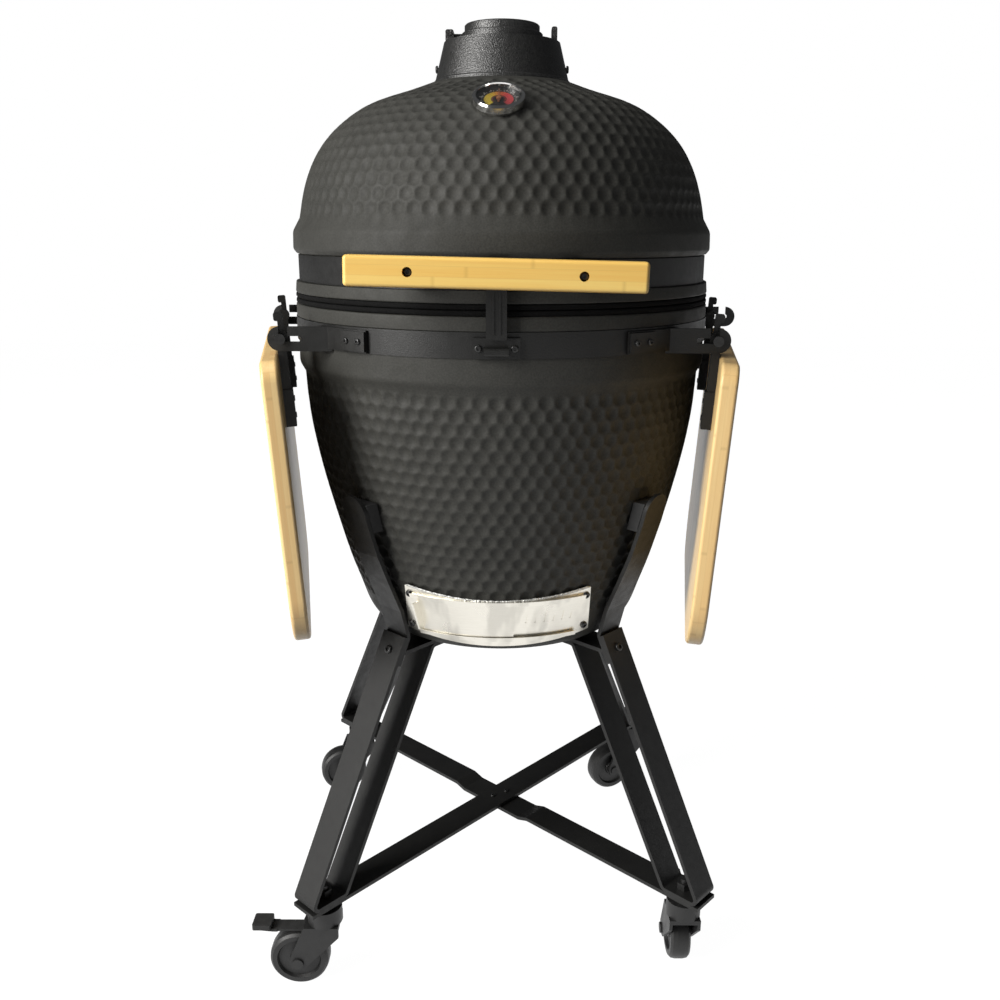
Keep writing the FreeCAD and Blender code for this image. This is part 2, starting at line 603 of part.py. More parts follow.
base_shell = base_shell.cut(draft_seat).cut(screen_seat).cut(window)
draft_bolts = []
for x, z in ((-108.5, 510.5), (108.5, 510.5), (-107.5, 463.0), (107.5, 463.0)):
    r = draft_cone(z) + 2.0
    az = math.asin(x / r)
    slope = math.atan(d_k)
    n = (math.sin(az) * math.cos(slope), -math.cos(az) * math.cos(slope), -math.sin(slope))
    draft_bolts.append(domed_bolt(4.6, 3.0, (r * math.sin(az), -r * math.cos(az), z), n, 2.2, 12.0))
bolt_tools = fused(draft_bolts)
draft_frame = draft_frame.cut(bolt_tools)
base_shell = base_shell.cut(bolt_tools)

# ---------------------------------------------------------------- folding side shelves

p_z = size("pivot_z")
p_fx = size("pivot_front_x")
p_fy = size("pivot_front_y")
p_ry = size("pivot_rear_y")
p_rx = size("pivot_rear_x")
p_rx_in = size("pivot_rear_x_in")
slot_l = size("slot_length")
shelf_l = size("shelf_length")
shelf_d = size("shelf_depth")
shelf_t = size("shelf_thick")
lean = size("shelf_lean")


def bracket(x_out, y, az_mid):
    # Flat plate standing outward from the band, with an L-shaped slot for the shelf pin.
    half = 14.0
    blade = box(150.0, x_out, y - 2.0, y + 2.0, p_z - half, p_z + half)
    blade = blade.fuse(cyl(half, (x_out, y - 2.0, p_z), (x_out, y + 2.0, p_z))).removeSplitter()
    x_in = x_out - slot_l
    slot = box(x_in, x_out, y - 5, y + 5, p_z - 3.2, p_z + 3.2)
    slot = slot.fuse(cyl(3.2, (x_in, y - 5, p_z), (x_in, y + 5, p_z)))
    slot = slot.fuse(cyl(3.2, (x_out, y - 5, p_z), (x_out, y + 5, p_z)))
    slot = slot.fuse(box(x_out - 9.5, x_out + 0.8, y - 5, y + 5, p_z, p_z + half + 5))
    foot = ring_sector(low_band_r, low_band_r + 3.5, p_z - 11.0, p_z + half, az_mid - 9.0, az_mid + 9.0)
    blade = blade.cut(cyl(low_band_r, (0, 0, 780), (0, 0, 860)))
    blade = blade.fuse(foot).removeSplitter()
    return blade.cut(slot)


def clamp(az_mid):
    return ring_sector(low_band_r + 3.5, low_band_r + 6.5, p_z - 9.5, p_z + 12.5, az_mid - 3.9, az_mid + 3.9)


front_az = -math.degrees(math.acos(math.sqrt(low_band_r ** 2 - p_fy ** 2) / low_band_r)) - 5.0
rear_az = math.degrees(math.acos(math.sqrt(low_band_r ** 2 - p_ry ** 2) / low_band_r)) + 5.0
bracket_front = bracket(p_fx, p_fy, front_az)
bracket_rear = bracket(p_rx, p_ry, rear_az)
clamps = []
for az in (front_az - 5.0, rear_az + 5.0):
    clamps.append(clamp(az))
    for step in (-2.0, 2.0):
        a = math.radians(az + step)
        n = (math.cos(a), math.sin(a), 0)
        r = low_band_r + 6.5
        bolt = domed_bolt(3.6, 2.4, (n[0] * r, n[1] * r, p_z + 1.5), n, 2.0, 6.0)
        band_bolts.append(bolt)
        band_bolts.append(mirrored_x(bolt))
clamps = clamps + [mirrored_x(c) for c in clamps]
bolt_tools = fused(band_bolts)
clamps = [c.cut(bolt_tools) for c in clamps]
brackets_right = [bracket_front.cut(bolt_tools), bracket_rear.cut(bolt_tools)]
brackets_left = [mirrored_x(b) for b in (bracket_front, bracket_rear)]
brackets_left = [b.cut(bolt_tools) for b in brackets_left]
keeper = keeper.cut(bolt_tools)
lower_band = lower_band.cut(bolt_tools)


def shelf_parts(span, notched):
    # Local frame: X outward from the grill, Y from the front pivot to the rear one, Z up, hanging plumb.
    y0 = -66.0
    board = box(4.0, 4.0 + shelf_t, y0, y0 + shelf_l, -18.0 - shelf_d, -18.0)
    corners = []
    top_corners = []
    for e in board.Edges:
        if abs(abs(e.tangentAt(e.FirstParameter).x) - 1.0) < 1e-6:
            if e.CenterOfMass.z < -100.0:
                corners.append(e)
            else:
                top_corners.append(e)
    board = board.makeFillet(70.0, corners)
    top_corners = []
    for e in board.Edges:
        if isinstance(e.Curve, Part.Line) and abs(abs(e.tangentAt(e.FirstParameter).x) - 1.0) < 1e-6:
            if e.CenterOfMass.z > -20.0:
                top_corners.append(e)
    board = board.makeFillet(22.0, top_corners)
    rim = []
    for e in board.Edges:
        x = e.CenterOfMass.x
        if abs(x - 4.0) < 1e-6 or abs(x - 4.0 - shelf_t) < 1e-6:
            rim.append(e)
    board = board.makeFillet(4.0, rim)
    if notched:
        board = board.cut(cyl(36.5, (0, span - 13.0, 0), (0, span + 13.0, 0)))
    arms = []
    pins = []
    for base, sign in ((0.0, 1.0), (span, -1.0)):
        def run(a, b):
            return sorted((base + sign * a, base + sign * b))
        u0, u1 = run(7.0, 25.0)
        web = box(2.0, 4.0, u0, u1, -62.0, -7.0)
        parts = [web]
        for a, b in ((7.0, 9.0), (23.0, 25.0)):
            f0, f1 = run(a, b)
            parts.append(box(-6.0, 4.0, f0, f1, -62.0, 0.0))
        s0, s1 = run(5.0, 27.0)
        parts.append(box(-8.0, 4.0, s0, s1, -104.0, -60.0))
        parts.append(cyl(9.0, (0, u0, 0), (0, u1, 0)).common(box(-9, 4, u0, u1, -9, 9)))
        t0, t1 = run(12.0, 20.0)
        parts.append(box(-6.0, 1.0, t0, t1, -2.0, 24.0))
        v0, v1 = run(12.0, 25.0)
        parts.append(rounded(box(-6.0, 5.0, v0, v1, 19.0, 28.5), 2.5, (0, 1, 0)))
        arm = fused(parts)
        p0 = V(0, base - sign * 5.0, 0)
        p1 = V(0, base + sign * 24.0, 0)
        pin = Part.makeCylinder(2.5, (p1 - p0).Length, p0, p1 - p0)
        h0 = V(0, base - sign * 9.0, 0)
        head = Part.makeCylinder(6.0, 4.0, h0, p1 - p0)
        pins.append(pin.fuse(head).removeSplitter())
        arm = arm.cut(pins[-1])
        arms.append(arm)
        for v in (-72.0, -92.0):
            screw = domed_bolt(3.5, 1.2, (-8.0, (u0 + u1) / 2.0, v), (-1, 0, 0), 1.8, 22.0)
            pins.append(screw)
    tools = fused(pins)
    board = board.cut(tools)
    arms = [a.cut(tools) for a in arms]
    return board, arms, pins


def hang(shape, side, flare):
    copy = turned_about(shape, lean, O, V(0, 1, 0))
    if side < 0:
        copy = mirrored_x(copy)
    copy.rotate(O, Z, -side * flare)
    copy.translate(V(side * p_fx, p_fy, p_z))
    return copy


def shelf_line(x_rear):
    return math.hypot(x_rear - p_fx, p_ry - p_fy), math.degrees(math.atan2(x_rear - p_fx, p_ry - p_fy))


shelves = {}
for label, side, x_rear in (("left", -1, p_rx), ("right", 1, p_rx_in)):
    span, flare = shelf_line(x_rear)
    board, arms, pins = shelf_parts(span, label == "right")
    shelves[label] = (hang(board, side, flare), [hang(a, side, flare) for a in arms],
                      [hang(p, side, flare) for p in pins])

# ---------------------------------------------------------------- stand

strap_w = size("strap_width")
strap_t = size("strap_thick")
plate_z = size("plate_z")
reach = size("stem_reach")
brace_w = size("brace_width")
ring_z = foot_z - strap_t

leg_slope = 0.5112
leg_low = 362.4
leg_high_z = 444.0


def leg_face(z):
    return leg_low - leg_slope * (z - plate_z)


def brace_path(dip):
    ends = leg_low - 4.0
    if dip == 0:
        return [(ends, plate_z - strap_t), (-ends, plate_z - strap_t)]
    low = plate_z - strap_t - dip
    return [(ends, plate_z - strap_t), (72.0, plate_z - strap_t), (56.0, low), (-56.0, low),
            (-72.0, plate_z - strap_t), (-ends, plate_z - strap_t)]


leg = bent_strap([(leg_face(leg_high_z), leg_high_z), (leg_low, plate_z), (304.4, plate_z),
                  (147.0, ring_z - strap_t), (108.0, ring_z - strap_t)], strap_t, strap_w)
back = strap_t * math.hypot(1.0, leg_slope)
arm_path = [(leg_face(409.0) - back, 409.0), (leg_face(442.0) - back, 442.0), (203.5, 480.0), (221.0, 520.0),
            (237.5, 560.0), (250.5, 600.0), (261.5, 642.0)]
arm = bent_strap(arm_path[::-1], strap_t, strap_w, 3.0)
tip = box(200.0, 300.0, -strap_w / 2, strap_w / 2, 600.0, 660.0)
tip_round = cyl(strap_w / 2, (200.0, 0, 618.0), (300.0, 0, 618.0))
tip = tip.cut(tip_round).cut(box(200.0, 300.0, -strap_w / 2, strap_w / 2, 590.0, 618.0))
arm = arm.cut(tip)
tab = box(120.0, leg_face(ring_z + 2.0) - back - strap_t, -strap_w / 2, strap_w / 2, ring_z, foot_z)
cradle_parts = [ring(96.0, 130.0, ring_z, foot_z)]
for az in (45, 135, 225, 315):
    cradle_parts.append(turned_about(arm, az))
    cradle_parts.append(turned_about(tab, az))
cart_cradle = fused(cradle_parts)

leg_normal = math.atan(leg_slope)
n_leg = (math.cos(leg_normal), 0, math.sin(leg_normal))
cart_bolts = []
stems = []
pads = []
legs = {}
pad = extruded([(227.8, -20.0, 592.0), (236.5, -20.0, 628.0), (252.3, -20.0, 628.0), (242.4, -20.0, 592.0)], (0, 40, 0))
corner_names = {225: "front_left", 315: "front_right", 45: "rear_right", 135: "rear_left"}
knee_bolt = domed_bolt(5.5, 3.6, (leg_face(425.0), 0, 425.0), n_leg, 3.0, 14.0)
foot_bolt = domed_bolt(5.0, 3.2, (119.0, 0, ring_z - strap_t), (0, 0, -1), 3.0, strap_t * 2 - 0.5)
stem = cyl(6.0, (reach, 0, 88.0), (reach, 0, 141.0))
stem = stem.fuse(cyl(15.0, (reach, 0, 112.0), (reach, 0, plate_z - strap_t)))
stem = stem.fuse(cyl(9.0, (reach, 0, 86.0), (reach, 0, 89.0)))
stem = stem.fuse(hexagon(18.0, 9.0, (reach, 0, plate_z + strap_t), (0, 0, 1))).removeSplitter()
for az, where in corner_names.items():
    cart_bolts.append(turned_about(knee_bolt, az))
    cart_bolts.append(turned_about(foot_bolt, az))
    stems.append(turned_about(stem, az))
    pads.append(turned_about(pad, az))
brace_a = bent_strap(brace_path(0), strap_t, brace_w)
brace_b = bent_strap(brace_path(strap_t), strap_t, brace_w)
brace_a = turned_about(brace_a, 225)
brace_b = turned_about(brace_b, 315)
for x, y in ((10.0, 6.0), (-10.0, -6.0)):
    cart_bolts.append(domed_bolt(3.6, 2.4, (x, y, plate_z), (0, 0, 1), 2.5, 12.0))
hardware = fused(cart_bolts + stems)
cart_cradle = cart_cradle.cut(hardware)
brace_a = brace_a.cut(hardware)
brace_b = brace_b.cut(hardware)
for az, where in corner_names.items():
    legs[where] = turned_about(leg, az).cut(hardware)

# ---------------------------------------------------------------- casters

wheel_r = size("wheel_radius")
wheel_w = size("wheel_width")
trail = size("trail")
fork_z = 84.0


def wheel_shape():
    w = wheel_w / 2.0
    body = lathe([(4.06, -w + 1.0), (11.0, -w + 1.0), (12.5, -w + 4.0), (26.0, -w + 4.0), (28.0, -w), (wheel_r - 4.0, -w),
                  (wheel_r - 1.0, -w + 3.0), (wheel_r, -w + 8.0), (wheel_r, w - 8.0), (wheel_r - 1.0, w - 3.0),
                  (wheel_r - 4.0, w), (28.0, w), (26.0, w - 4.0), (12.5, w - 4.0), (11.0, w - 1.0), (4.06, w - 1.0)])
    body.rotate(O, V(1, 0, 0), 90)
    body.translate(V(trail, 0, wheel_r))
    return body


def fork_shape(braked):
    parts = [cyl(22.0, (0, 0, fork_z + 5.5), (0, 0, 111.7)), box(-19, 25, -20, 20, fork_z, fork_z + 6.0)]
    for side in (-1, 1):
        y0, y1 = sorted((side * 16.0, side * 20.0))
        profile = [(-19, y0, fork_z + 6.0), (25, y0, fork_z + 6.0), (45, y0, 42), (42, y0, 30), (26, y0, 30),
                   (-19, y0, fork_z - 8.0)]
        parts.append(extruded(profile, (0, y1 - y0, 0)))
        parts.append(cyl(9.5, (trail, y0, wheel_r), (trail, y1, wheel_r)))
        h0, h1 = sorted((side * 20.0, side * 22.5))
        parts.append(cyl(7.0, (trail, h0, wheel_r), (trail, h1, wheel_r)))
    parts.append(cyl(4.0, (trail, -20.5, wheel_r), (trail, 20.5, wheel_r)))
    if braked:
        parts.append(cyl(2.2, (18.0, -17.0, 79.5), (18.0, 17.0, 79.5)))
    body = fused(parts)
    body = body.cut(cyl(6.06, (0, 0, 80), (0, 0, 120)))
    body = body.cut(cyl(10.5, (0, 0, 80), (0, 0, 89.4)))
    return body


def brake_shape():
    lever = box(14.0, 66.0, -9.0, 9.0, 77.6, 81.0)
    lever = lever.fuse(cyl(3.9, (18.0, -13.0, 79.5), (18.0, 13.0, 79.5)))
    lever = lever.fuse(extruded([(60, -10, 77.6), (66, -10, 77.6), (90, -10, 80.0), (90, -10, 83.4), (66, -10, 81.0),
                                 (60, -10, 81.0)], (0, 20, 0)))
    pad_block = box(68.0, 92.0, -12.0, 12.0, 80.8, 88.0)
    pad_block = rounded(pad_block, 2.5, (0, 0, 1))
    lever = lever.fuse(pad_block).removeSplitter()
    return lever.cut(cyl(2.26, (18.0, -20, 79.5), (18.0, 20, 79.5)))


caster_heading = {"front_left": 178.0, "front_right": 88.0, "rear_left": 192.0, "rear_right": 202.0}
forks = {}
wheels = {}
brakes = {}
for az, where in corner_names.items():
    a = math.radians(az)
    shift = V(reach * math.cos(a), reach * math.sin(a), 0)

    def placed(shape):
        copy = turned_about(shape, caster_heading[where])
        copy.translate(shift)
        return copy

    braked = where.startswith("front")
    forks[where] = placed(fork_shape(braked))
    wheels[where] = placed(wheel_shape())
    if braked:
        brakes[where] = placed(brake_shape())

# ---------------------------------------------------------------- named parts

cart_turn = size("cart_turn")


def stand_part(shapes):
    if not isinstance(shapes, list):
        return turned_about(shapes, cart_turn)
    return [turned_about(s, cart_turn) for s in shapes]


add("base_shell", base_shell)
add("lid_shell", lid_shell)
add("base_gasket", base_gasket)
add("lid_gasket", lid_gasket)
add("firebox", firebox)
add("fire_ring", fire_ring)
add("charcoal_grate", charcoal_grate)
add("cooking_grid", cooking_grid)
add("lower_band", lower_band)
add("upper_band", upper_band)
add("hinge_upper", hinge_upper)
add("hinge_lower", hinge_lower)
add("hinge_pin", hinge_pin)
add("hinge_springs", springs)
add("handle_bar", bar)
add("handle_brackets", handle_brackets)
add("handle_bolts", handle_bolts)
add("lid_latch", latch)
add("latch_keeper", keeper)
add("band_bolts", band_bolts)
add("vent_collar", collar)
add("vent_screws", side_screws)
add("vent_cap", vent_cap)
add("vent_dial", vent_dial)
add("gauge_bezel", on_gauge(bezel))
add("gauge_dial", on_gauge(dial_plate))
add("gauge_glass", on_gauge(glass))
add("gauge_needle", on_gauge(needle))
add("draft_frame", draft_frame)
add("draft_door", draft_door)
add("draft_screen", draft_screen)
add("draft_bolts", draft_bolts)
add("shelf_brackets_left", brackets_left)
add("shelf_brackets_right", brackets_right)
add("bracket_clamps", clamps)
for label in ("left", "right"):
    board, arms, pins = shelves[label]
    add("shelf_board_" + label, board)
    add("shelf_arms_" + label, arms)
    add("shelf_pins_" + label, pins)
add("cart_cradle", stand_part(cart_cradle))
add("cart_pads", stand_part(pads))
add("cart_bolts", stand_part(cart_bolts + stems))
add("brace_a", stand_part(brace_a))
add("brace_b", stand_part(brace_b))
for where in corner_names.values():
    add("leg_" + where, stand_part(legs[where]))
    add("fork_" + where, stand_part(forks[where]))
    add("wheel_" + where, stand_part(wheels[where]))
for where, shape in brakes.items():
    add("brake_" + where, stand_part(shape))

doc.recompute()
os.makedirs("parts", exist_ok=True)
for name, item in nodes.items():
    if "Invalid" in item.State or "Error" in item.State:
        raise RuntimeError(name + " did not recompute")
    if item.Shape.isNull() or not item.Shape.isValid():
        raise RuntimeError(name + " has a bad shape")
    item.Shape.exportStep("parts/%s.step" % name)
print("parts written:", len(nodes))
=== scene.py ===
"""Looks of a kamado ceramic grill on a wheeled stand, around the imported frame. Metres, Z up, front at -Y."""
import json
import math

import bpy
import numpy as np
from mathutils import Matrix, Vector


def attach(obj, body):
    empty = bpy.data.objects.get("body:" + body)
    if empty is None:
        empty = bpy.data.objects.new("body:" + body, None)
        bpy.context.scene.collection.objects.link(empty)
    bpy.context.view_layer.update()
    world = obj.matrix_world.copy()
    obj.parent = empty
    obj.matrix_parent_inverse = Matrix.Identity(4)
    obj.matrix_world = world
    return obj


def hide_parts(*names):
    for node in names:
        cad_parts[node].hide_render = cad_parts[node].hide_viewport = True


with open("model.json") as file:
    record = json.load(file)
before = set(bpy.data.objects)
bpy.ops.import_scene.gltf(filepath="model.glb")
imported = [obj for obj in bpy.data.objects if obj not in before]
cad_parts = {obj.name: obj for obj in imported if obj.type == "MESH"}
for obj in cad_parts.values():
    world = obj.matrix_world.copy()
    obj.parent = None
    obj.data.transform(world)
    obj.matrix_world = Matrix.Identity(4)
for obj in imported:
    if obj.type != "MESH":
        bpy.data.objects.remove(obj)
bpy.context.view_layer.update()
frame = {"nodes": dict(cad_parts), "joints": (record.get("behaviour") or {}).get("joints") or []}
nodes = frame["nodes"]
joints = {j["name"]: j for j in frame["joints"]}
MM = 0.001

# ---------------------------------------------------------------- material building


class Look:
    """One Principled material and short ways to add nodes to it."""

    def __init__(self, name, **sockets):
        self.mat = bpy.data.materials.new(name)
        self.mat.use_nodes = True
        self.tree = self.mat.node_tree
        self.tree.nodes.clear()
        out = self.add("OutputMaterial")
        self.bsdf = self.add("BsdfPrincipled")
        self.tree.links.new(self.bsdf.outputs[0], out.inputs["Surface"])
        self.pos = self.add("TexCoord").outputs["Object"]
        self.set(**sockets)

    def add(self, kind, **props):
        node = self.tree.nodes.new("ShaderNode" + kind)
        for key, value in props.items():
            setattr(node, key, value)
        return node

    def put(self, socket, value):
        if isinstance(value, bpy.types.NodeSocket):
            self.tree.links.new(value, socket)
        elif socket.type == "RGBA" and len(value) == 3:
            socket.default_value = (*value, 1.0)
        else:
            socket.default_value = value

    def set(self, **sockets):
        for key, value in sockets.items():
            self.put(self.bsdf.inputs[key.replace("_", " ")], value)

    def math(self, operation, a, b=None, c=None):
        node = self.add("Math", operation=operation)
        for socket, value in zip(node.inputs, (a, b, c)):
            if value is not None:
                self.put(socket, value)
        return node.outputs[0]

    def placed(self, rotation=(0, 0, 0), location=(0, 0, 0), scale=(1, 1, 1), vector=None):
        node = self.add("Mapping", vector_type="POINT")
        self.put(node.inputs["Vector"], vector or self.pos)
        node.inputs["Rotation"].default_value = rotation
        node.inputs["Location"].default_value = location
        node.inputs["Scale"].default_value = scale
        return node.outputs[0]

    def noise(self, scale, detail=2.0, rough=0.5, vector=None, distortion=0.0):
        node = self.add("TexNoise")
        self.put(node.inputs["Vector"], vector or self.pos)
        sockets = {"Scale": scale, "Detail": detail, "Roughness": rough, "Distortion": distortion}
        for key, value in sockets.items():
            node.inputs[key].default_value = value
        return node.outputs["Fac"]

    def cells(self, scale, vector=None, feature="F1", out="Distance"):
        node = self.add("TexVoronoi", feature=feature)
        self.put(node.inputs["Vector"], vector or self.pos)
        node.inputs["Scale"].default_value = scale
        return node.outputs[out]

    def random(self, vector):
        node = self.add("TexWhiteNoise", noise_dimensions="3D")
        self.put(node.inputs["Vector"], vector)
        return node.outputs["Value"]

    def ramp(self, fac, *stops, interpolation="LINEAR"):
        node = self.add("ValToRGB")
        node.color_ramp.interpolation = interpolation
        elements = node.color_ramp.elements
        while len(elements) < len(stops):
            elements.new(0.5)
        for element, (place, value) in zip(elements, stops):
            element.position = place
            element.color = (*value, 1.0) if isinstance(value, tuple) else (value, value, value, 1.0)
        self.put(node.inputs["Fac"], fac)
        return node.outputs["Color"]

    def mix(self, fac, a, b, blend="MIX"):
        node = self.add("Mix", data_type="RGBA", blend_type=blend)
        self.put(node.inputs[0], fac)
        self.put(node.inputs[6], a)
        self.put(node.inputs[7], b)
        return node.outputs[2]

    def span(self, value, lo, hi, to_lo, to_hi):
        node = self.add("MapRange")
        for socket, v in zip(node.inputs, (value, lo, hi, to_lo, to_hi)):
            self.put(socket, v)
        return node.outputs[0]

    def bump(self, height, distance, strength=1.0, normal=None):
        node = self.add("Bump")
        self.put(node.inputs["Height"], height)
        node.inputs["Distance"].default_value = distance
        node.inputs["Strength"].default_value = strength
        if normal is not None:
            self.put(node.inputs["Normal"], normal)
        self.put(self.bsdf.inputs["Normal"], node.outputs[0])
        return node.outputs[0]

    def axes(self, vector):
        node = self.add("SeparateXYZ")
        self.put(node.inputs[0], vector)
        return node.outputs

    def joined(self, x, y, z):
        node = self.add("CombineXYZ")
        for socket, value in zip(node.inputs, (x, y, z)):
            self.put(socket, value)
        return node.outputs[0]


def ceramic_look():
    look = Look("ceramic_charcoal", Specular_IOR_Level=0.26)
    cloud = look.noise(11.0, 4.0, 0.6)
    speck = look.noise(520.0, 2.0, 0.6)
    tone = look.ramp(cloud, (0.25, (0.031, 0.0308, 0.0272)), (0.75, (0.043, 0.0425, 0.0378)))
    fine = look.ramp(speck, (0.35, 0.80), (0.65, 1.12))
    look.set(Base_Color=look.mix(1.0, tone, fine, "MULTIPLY"))
    look.set(Roughness=look.span(look.noise(60.0, 3.0), 0.3, 0.7, 0.56, 0.70))
    soft = look.bump(look.noise(150.0, 3.0, 0.6), 0.0006, 0.35)
    look.bump(look.noise(1500.0, 2.0, 0.7), 0.0002, 0.55, soft)
    return look.mat


def bare_clay_look():
    look = Look("ceramic_bare", Roughness=0.92)
    spots = look.noise(24.0, 5.0)
    look.set(Base_Color=look.ramp(spots, (0.3, (0.40, 0.34, 0.27)), (0.7, (0.56, 0.50, 0.42))))
    look.bump(look.noise(420.0, 4.0, 0.7), 0.0008, 0.6)
    return look.mat


def felt_look():
    look = Look("felt_black", Roughness=1.0, Specular_IOR_Level=0.1)
    spots = look.noise(900.0, 3.0)
    look.set(Base_Color=look.ramp(spots, (0.3, (0.004, 0.004, 0.004)), (0.7, (0.011, 0.011, 0.011))))
    look.bump(look.noise(1100.0, 4.0, 0.8), 0.0008, 0.8)
    return look.mat


def coat_look(name, base, rough, grain, depth):
    look = Look(name, Specular_IOR_Level=0.36)
    dark = tuple(c * 0.75 for c in base)
    look.set(Base_Color=look.ramp(look.noise(40.0, 4.0), (0.3, dark), (0.7, base)))
    look.set(Roughness=look.span(look.noise(90.0, 3.0), 0.3, 0.7, rough - 0.06, rough + 0.06))
    look.bump(look.noise(grain, 2.0, 0.6), depth, 0.6)
    return look.mat


def cast_look():
    look = Look("cast_black", Specular_IOR_Level=0.7)
    spots = look.noise(300.0, 3.0)
    look.set(Base_Color=look.ramp(spots, (0.3, (0.012, 0.012, 0.012)), (0.7, (0.026, 0.026, 0.025))))
    look.set(Roughness=look.span(look.noise(200.0, 3.0), 0.3, 0.7, 0.26, 0.38))
    pebbles = look.cells(760.0, feature="SMOOTH_F1")
    broad = look.bump(pebbles, 0.0009, 0.55)
    look.bump(look.noise(1300.0, 3.0, 0.6), 0.0004, 0.5, broad)
    return look.mat


def bamboo_look(name, rotation, location, strip, ply, light, dark):
    """Laminated bamboo: grain along local X, strips across local Y, plies through local Z."""
    look = Look(name, Roughness=0.42, Specular_IOR_Level=0.45, Coat_Weight=0.18, Coat_Roughness=0.25)
    local = look.placed(rotation, location)
    x, y, z = look.axes(local)
    strip_no = look.math("FLOOR", look.math("DIVIDE", y, strip))
    ply_no = look.math("FLOOR", look.math("DIVIDE", z, ply))
    own = look.random(look.joined(strip_no, ply_no, 3.7))
    own2 = look.random(look.joined(strip_no, ply_no, 11.3))
    fibre = look.noise(1.0, 4.0, 0.65, look.placed(scale=(14.0, 950.0, 950.0), vector=local))
    broad = look.noise(1.0, 3.0, 0.55, look.placed(scale=(5.0, 140.0, 140.0), vector=local))
    tone = look.math("ADD", look.math("MULTIPLY", own, 0.30), look.math("MULTIPLY", broad, 0.40))
    tone = look.math("ADD", tone, look.math("MULTIPLY", fibre, 0.30))
    middle = tuple(0.5 * (a + b) for a, b in zip(light, dark))
    colour = look.ramp(tone, (0.22, dark), (0.52, middle), (0.80, light))
    along = look.math("ADD", look.math("DIVIDE", x, 0.19), look.math("MULTIPLY", own2, 7.0))
    node_at = look.math("ABSOLUTE", look.math("SUBTRACT", look.math("FRACT", along), 0.5))
    knuckle = look.span(node_at, 0.0, 0.016, 1.0, 0.0)
    colour = look.mix(look.math("MULTIPLY", knuckle, 0.30), colour, tuple(0.60 * c for c in dark))
    in_strip = look.math("FRACT", look.math("DIVIDE", y, strip))
    edge_y = look.math("ABSOLUTE", look.math("SUBTRACT", in_strip, 0.5))
    in_ply = look.math("FRACT", look.math("DIVIDE", z, ply))
    edge_z = look.math("ABSOLUTE", look.math("SUBTRACT", in_ply, 0.5))
    seam_y = look.span(edge_y, 0.478, 0.5, 0.0, 1.0)
    seam_z = look.span(edge_z, 0.455, 0.5, 0.0, 1.0)
    seam = look.math("MAXIMUM", seam_y, seam_z)
    colour = look.mix(look.math("MULTIPLY", seam, 0.22), colour, tuple(0.60 * c for c in dark))
    look.set(Base_Color=colour)
    look.bump(fibre, 0.0003, 0.35)
    return look.mat


def brushed_look():
    look = Look("stainless", Metallic=1.0)
    lines = look.noise(1.0, 3.0, 0.7, look.placed(scale=(60.0, 60.0, 1500.0)))
    # Vertical darker streaks multiplied into the base colour are a painted reflection of the surroundings;
    # only the fine horizontal lines are real brushing.
    reflection_streaks = look.noise(1.0, 2.0, 0.5, look.placed(scale=(42.0, 42.0, 3.0)))
    fine = look.ramp(lines, (0.3, (0.80, 0.77, 0.69)), (0.7, (0.86, 0.83, 0.75)))
    painted_reflection_bands = look.ramp(reflection_streaks, (0.36, 0.78), (0.52, 1.0))
    look.set(Base_Color=look.mix(1.0, fine, painted_reflection_bands, "MULTIPLY"))
    look.set(Roughness=look.span(look.noise(30.0, 3.0), 0.3, 0.7, 0.26, 0.36))
    look.bump(lines, 0.00004, 0.25)
    return look.mat


def polished_look():
    look = Look("steel_bright", Metallic=1.0, Base_Color=(0.80, 0.79, 0.77))
    look.set(Roughness=look.span(look.noise(80.0, 3.0), 0.3, 0.7, 0.06, 0.16))
    look.bump(look.noise(400.0, 2.0), 0.0001, 0.2)
    return look.mat


def foil_look():
    look = Look("gasket_foil", Metallic=0.65)
    crinkle = look.noise(420.0, 4.0, 0.75)
    look.set(Base_Color=look.ramp(crinkle, (0.3, (0.42, 0.42, 0.40)), (0.7, (0.78, 0.78, 0.76))))
    look.set(Roughness=look.span(crinkle, 0.3, 0.7, 0.30, 0.55))
    look.bump(look.cells(520.0), 0.0012, 0.8)
    return look.mat


def iron_look():
    look = Look("grate_iron", Roughness=0.75)
    spots = look.noise(140.0, 4.0)
    look.set(Base_Color=look.ramp(spots, (0.3, (0.030, 0.029, 0.028)), (0.7, (0.075, 0.070, 0.066))))
    look.bump(look.noise(700.0, 3.0, 0.7), 0.0006, 0.6)
    return look.mat


def plain_look(name, low, high, rough, grain, depth, **sockets):
    look = Look(name, **sockets)
    look.set(Base_Color=look.ramp(look.noise(grain * 0.2, 3.0), (0.3, low), (0.7, high)))
    look.set(Roughness=look.span(look.noise(grain * 0.1, 3.0), 0.3, 0.7, rough - 0.05, rough + 0.05))
    look.bump(look.noise(grain, 2.0), depth, 0.5)
    return look.mat


GAUGE_POINT = Vector((0.0, -0.1864, 1.0726))
GAUGE_TILT = math.radians(55.4)
GAUGE_AXES = Matrix(((1, 0, 0), (0, math.sin(GAUGE_TILT), math.cos(GAUGE_TILT)),
                     (0, -math.cos(GAUGE_TILT), math.sin(GAUGE_TILT))))


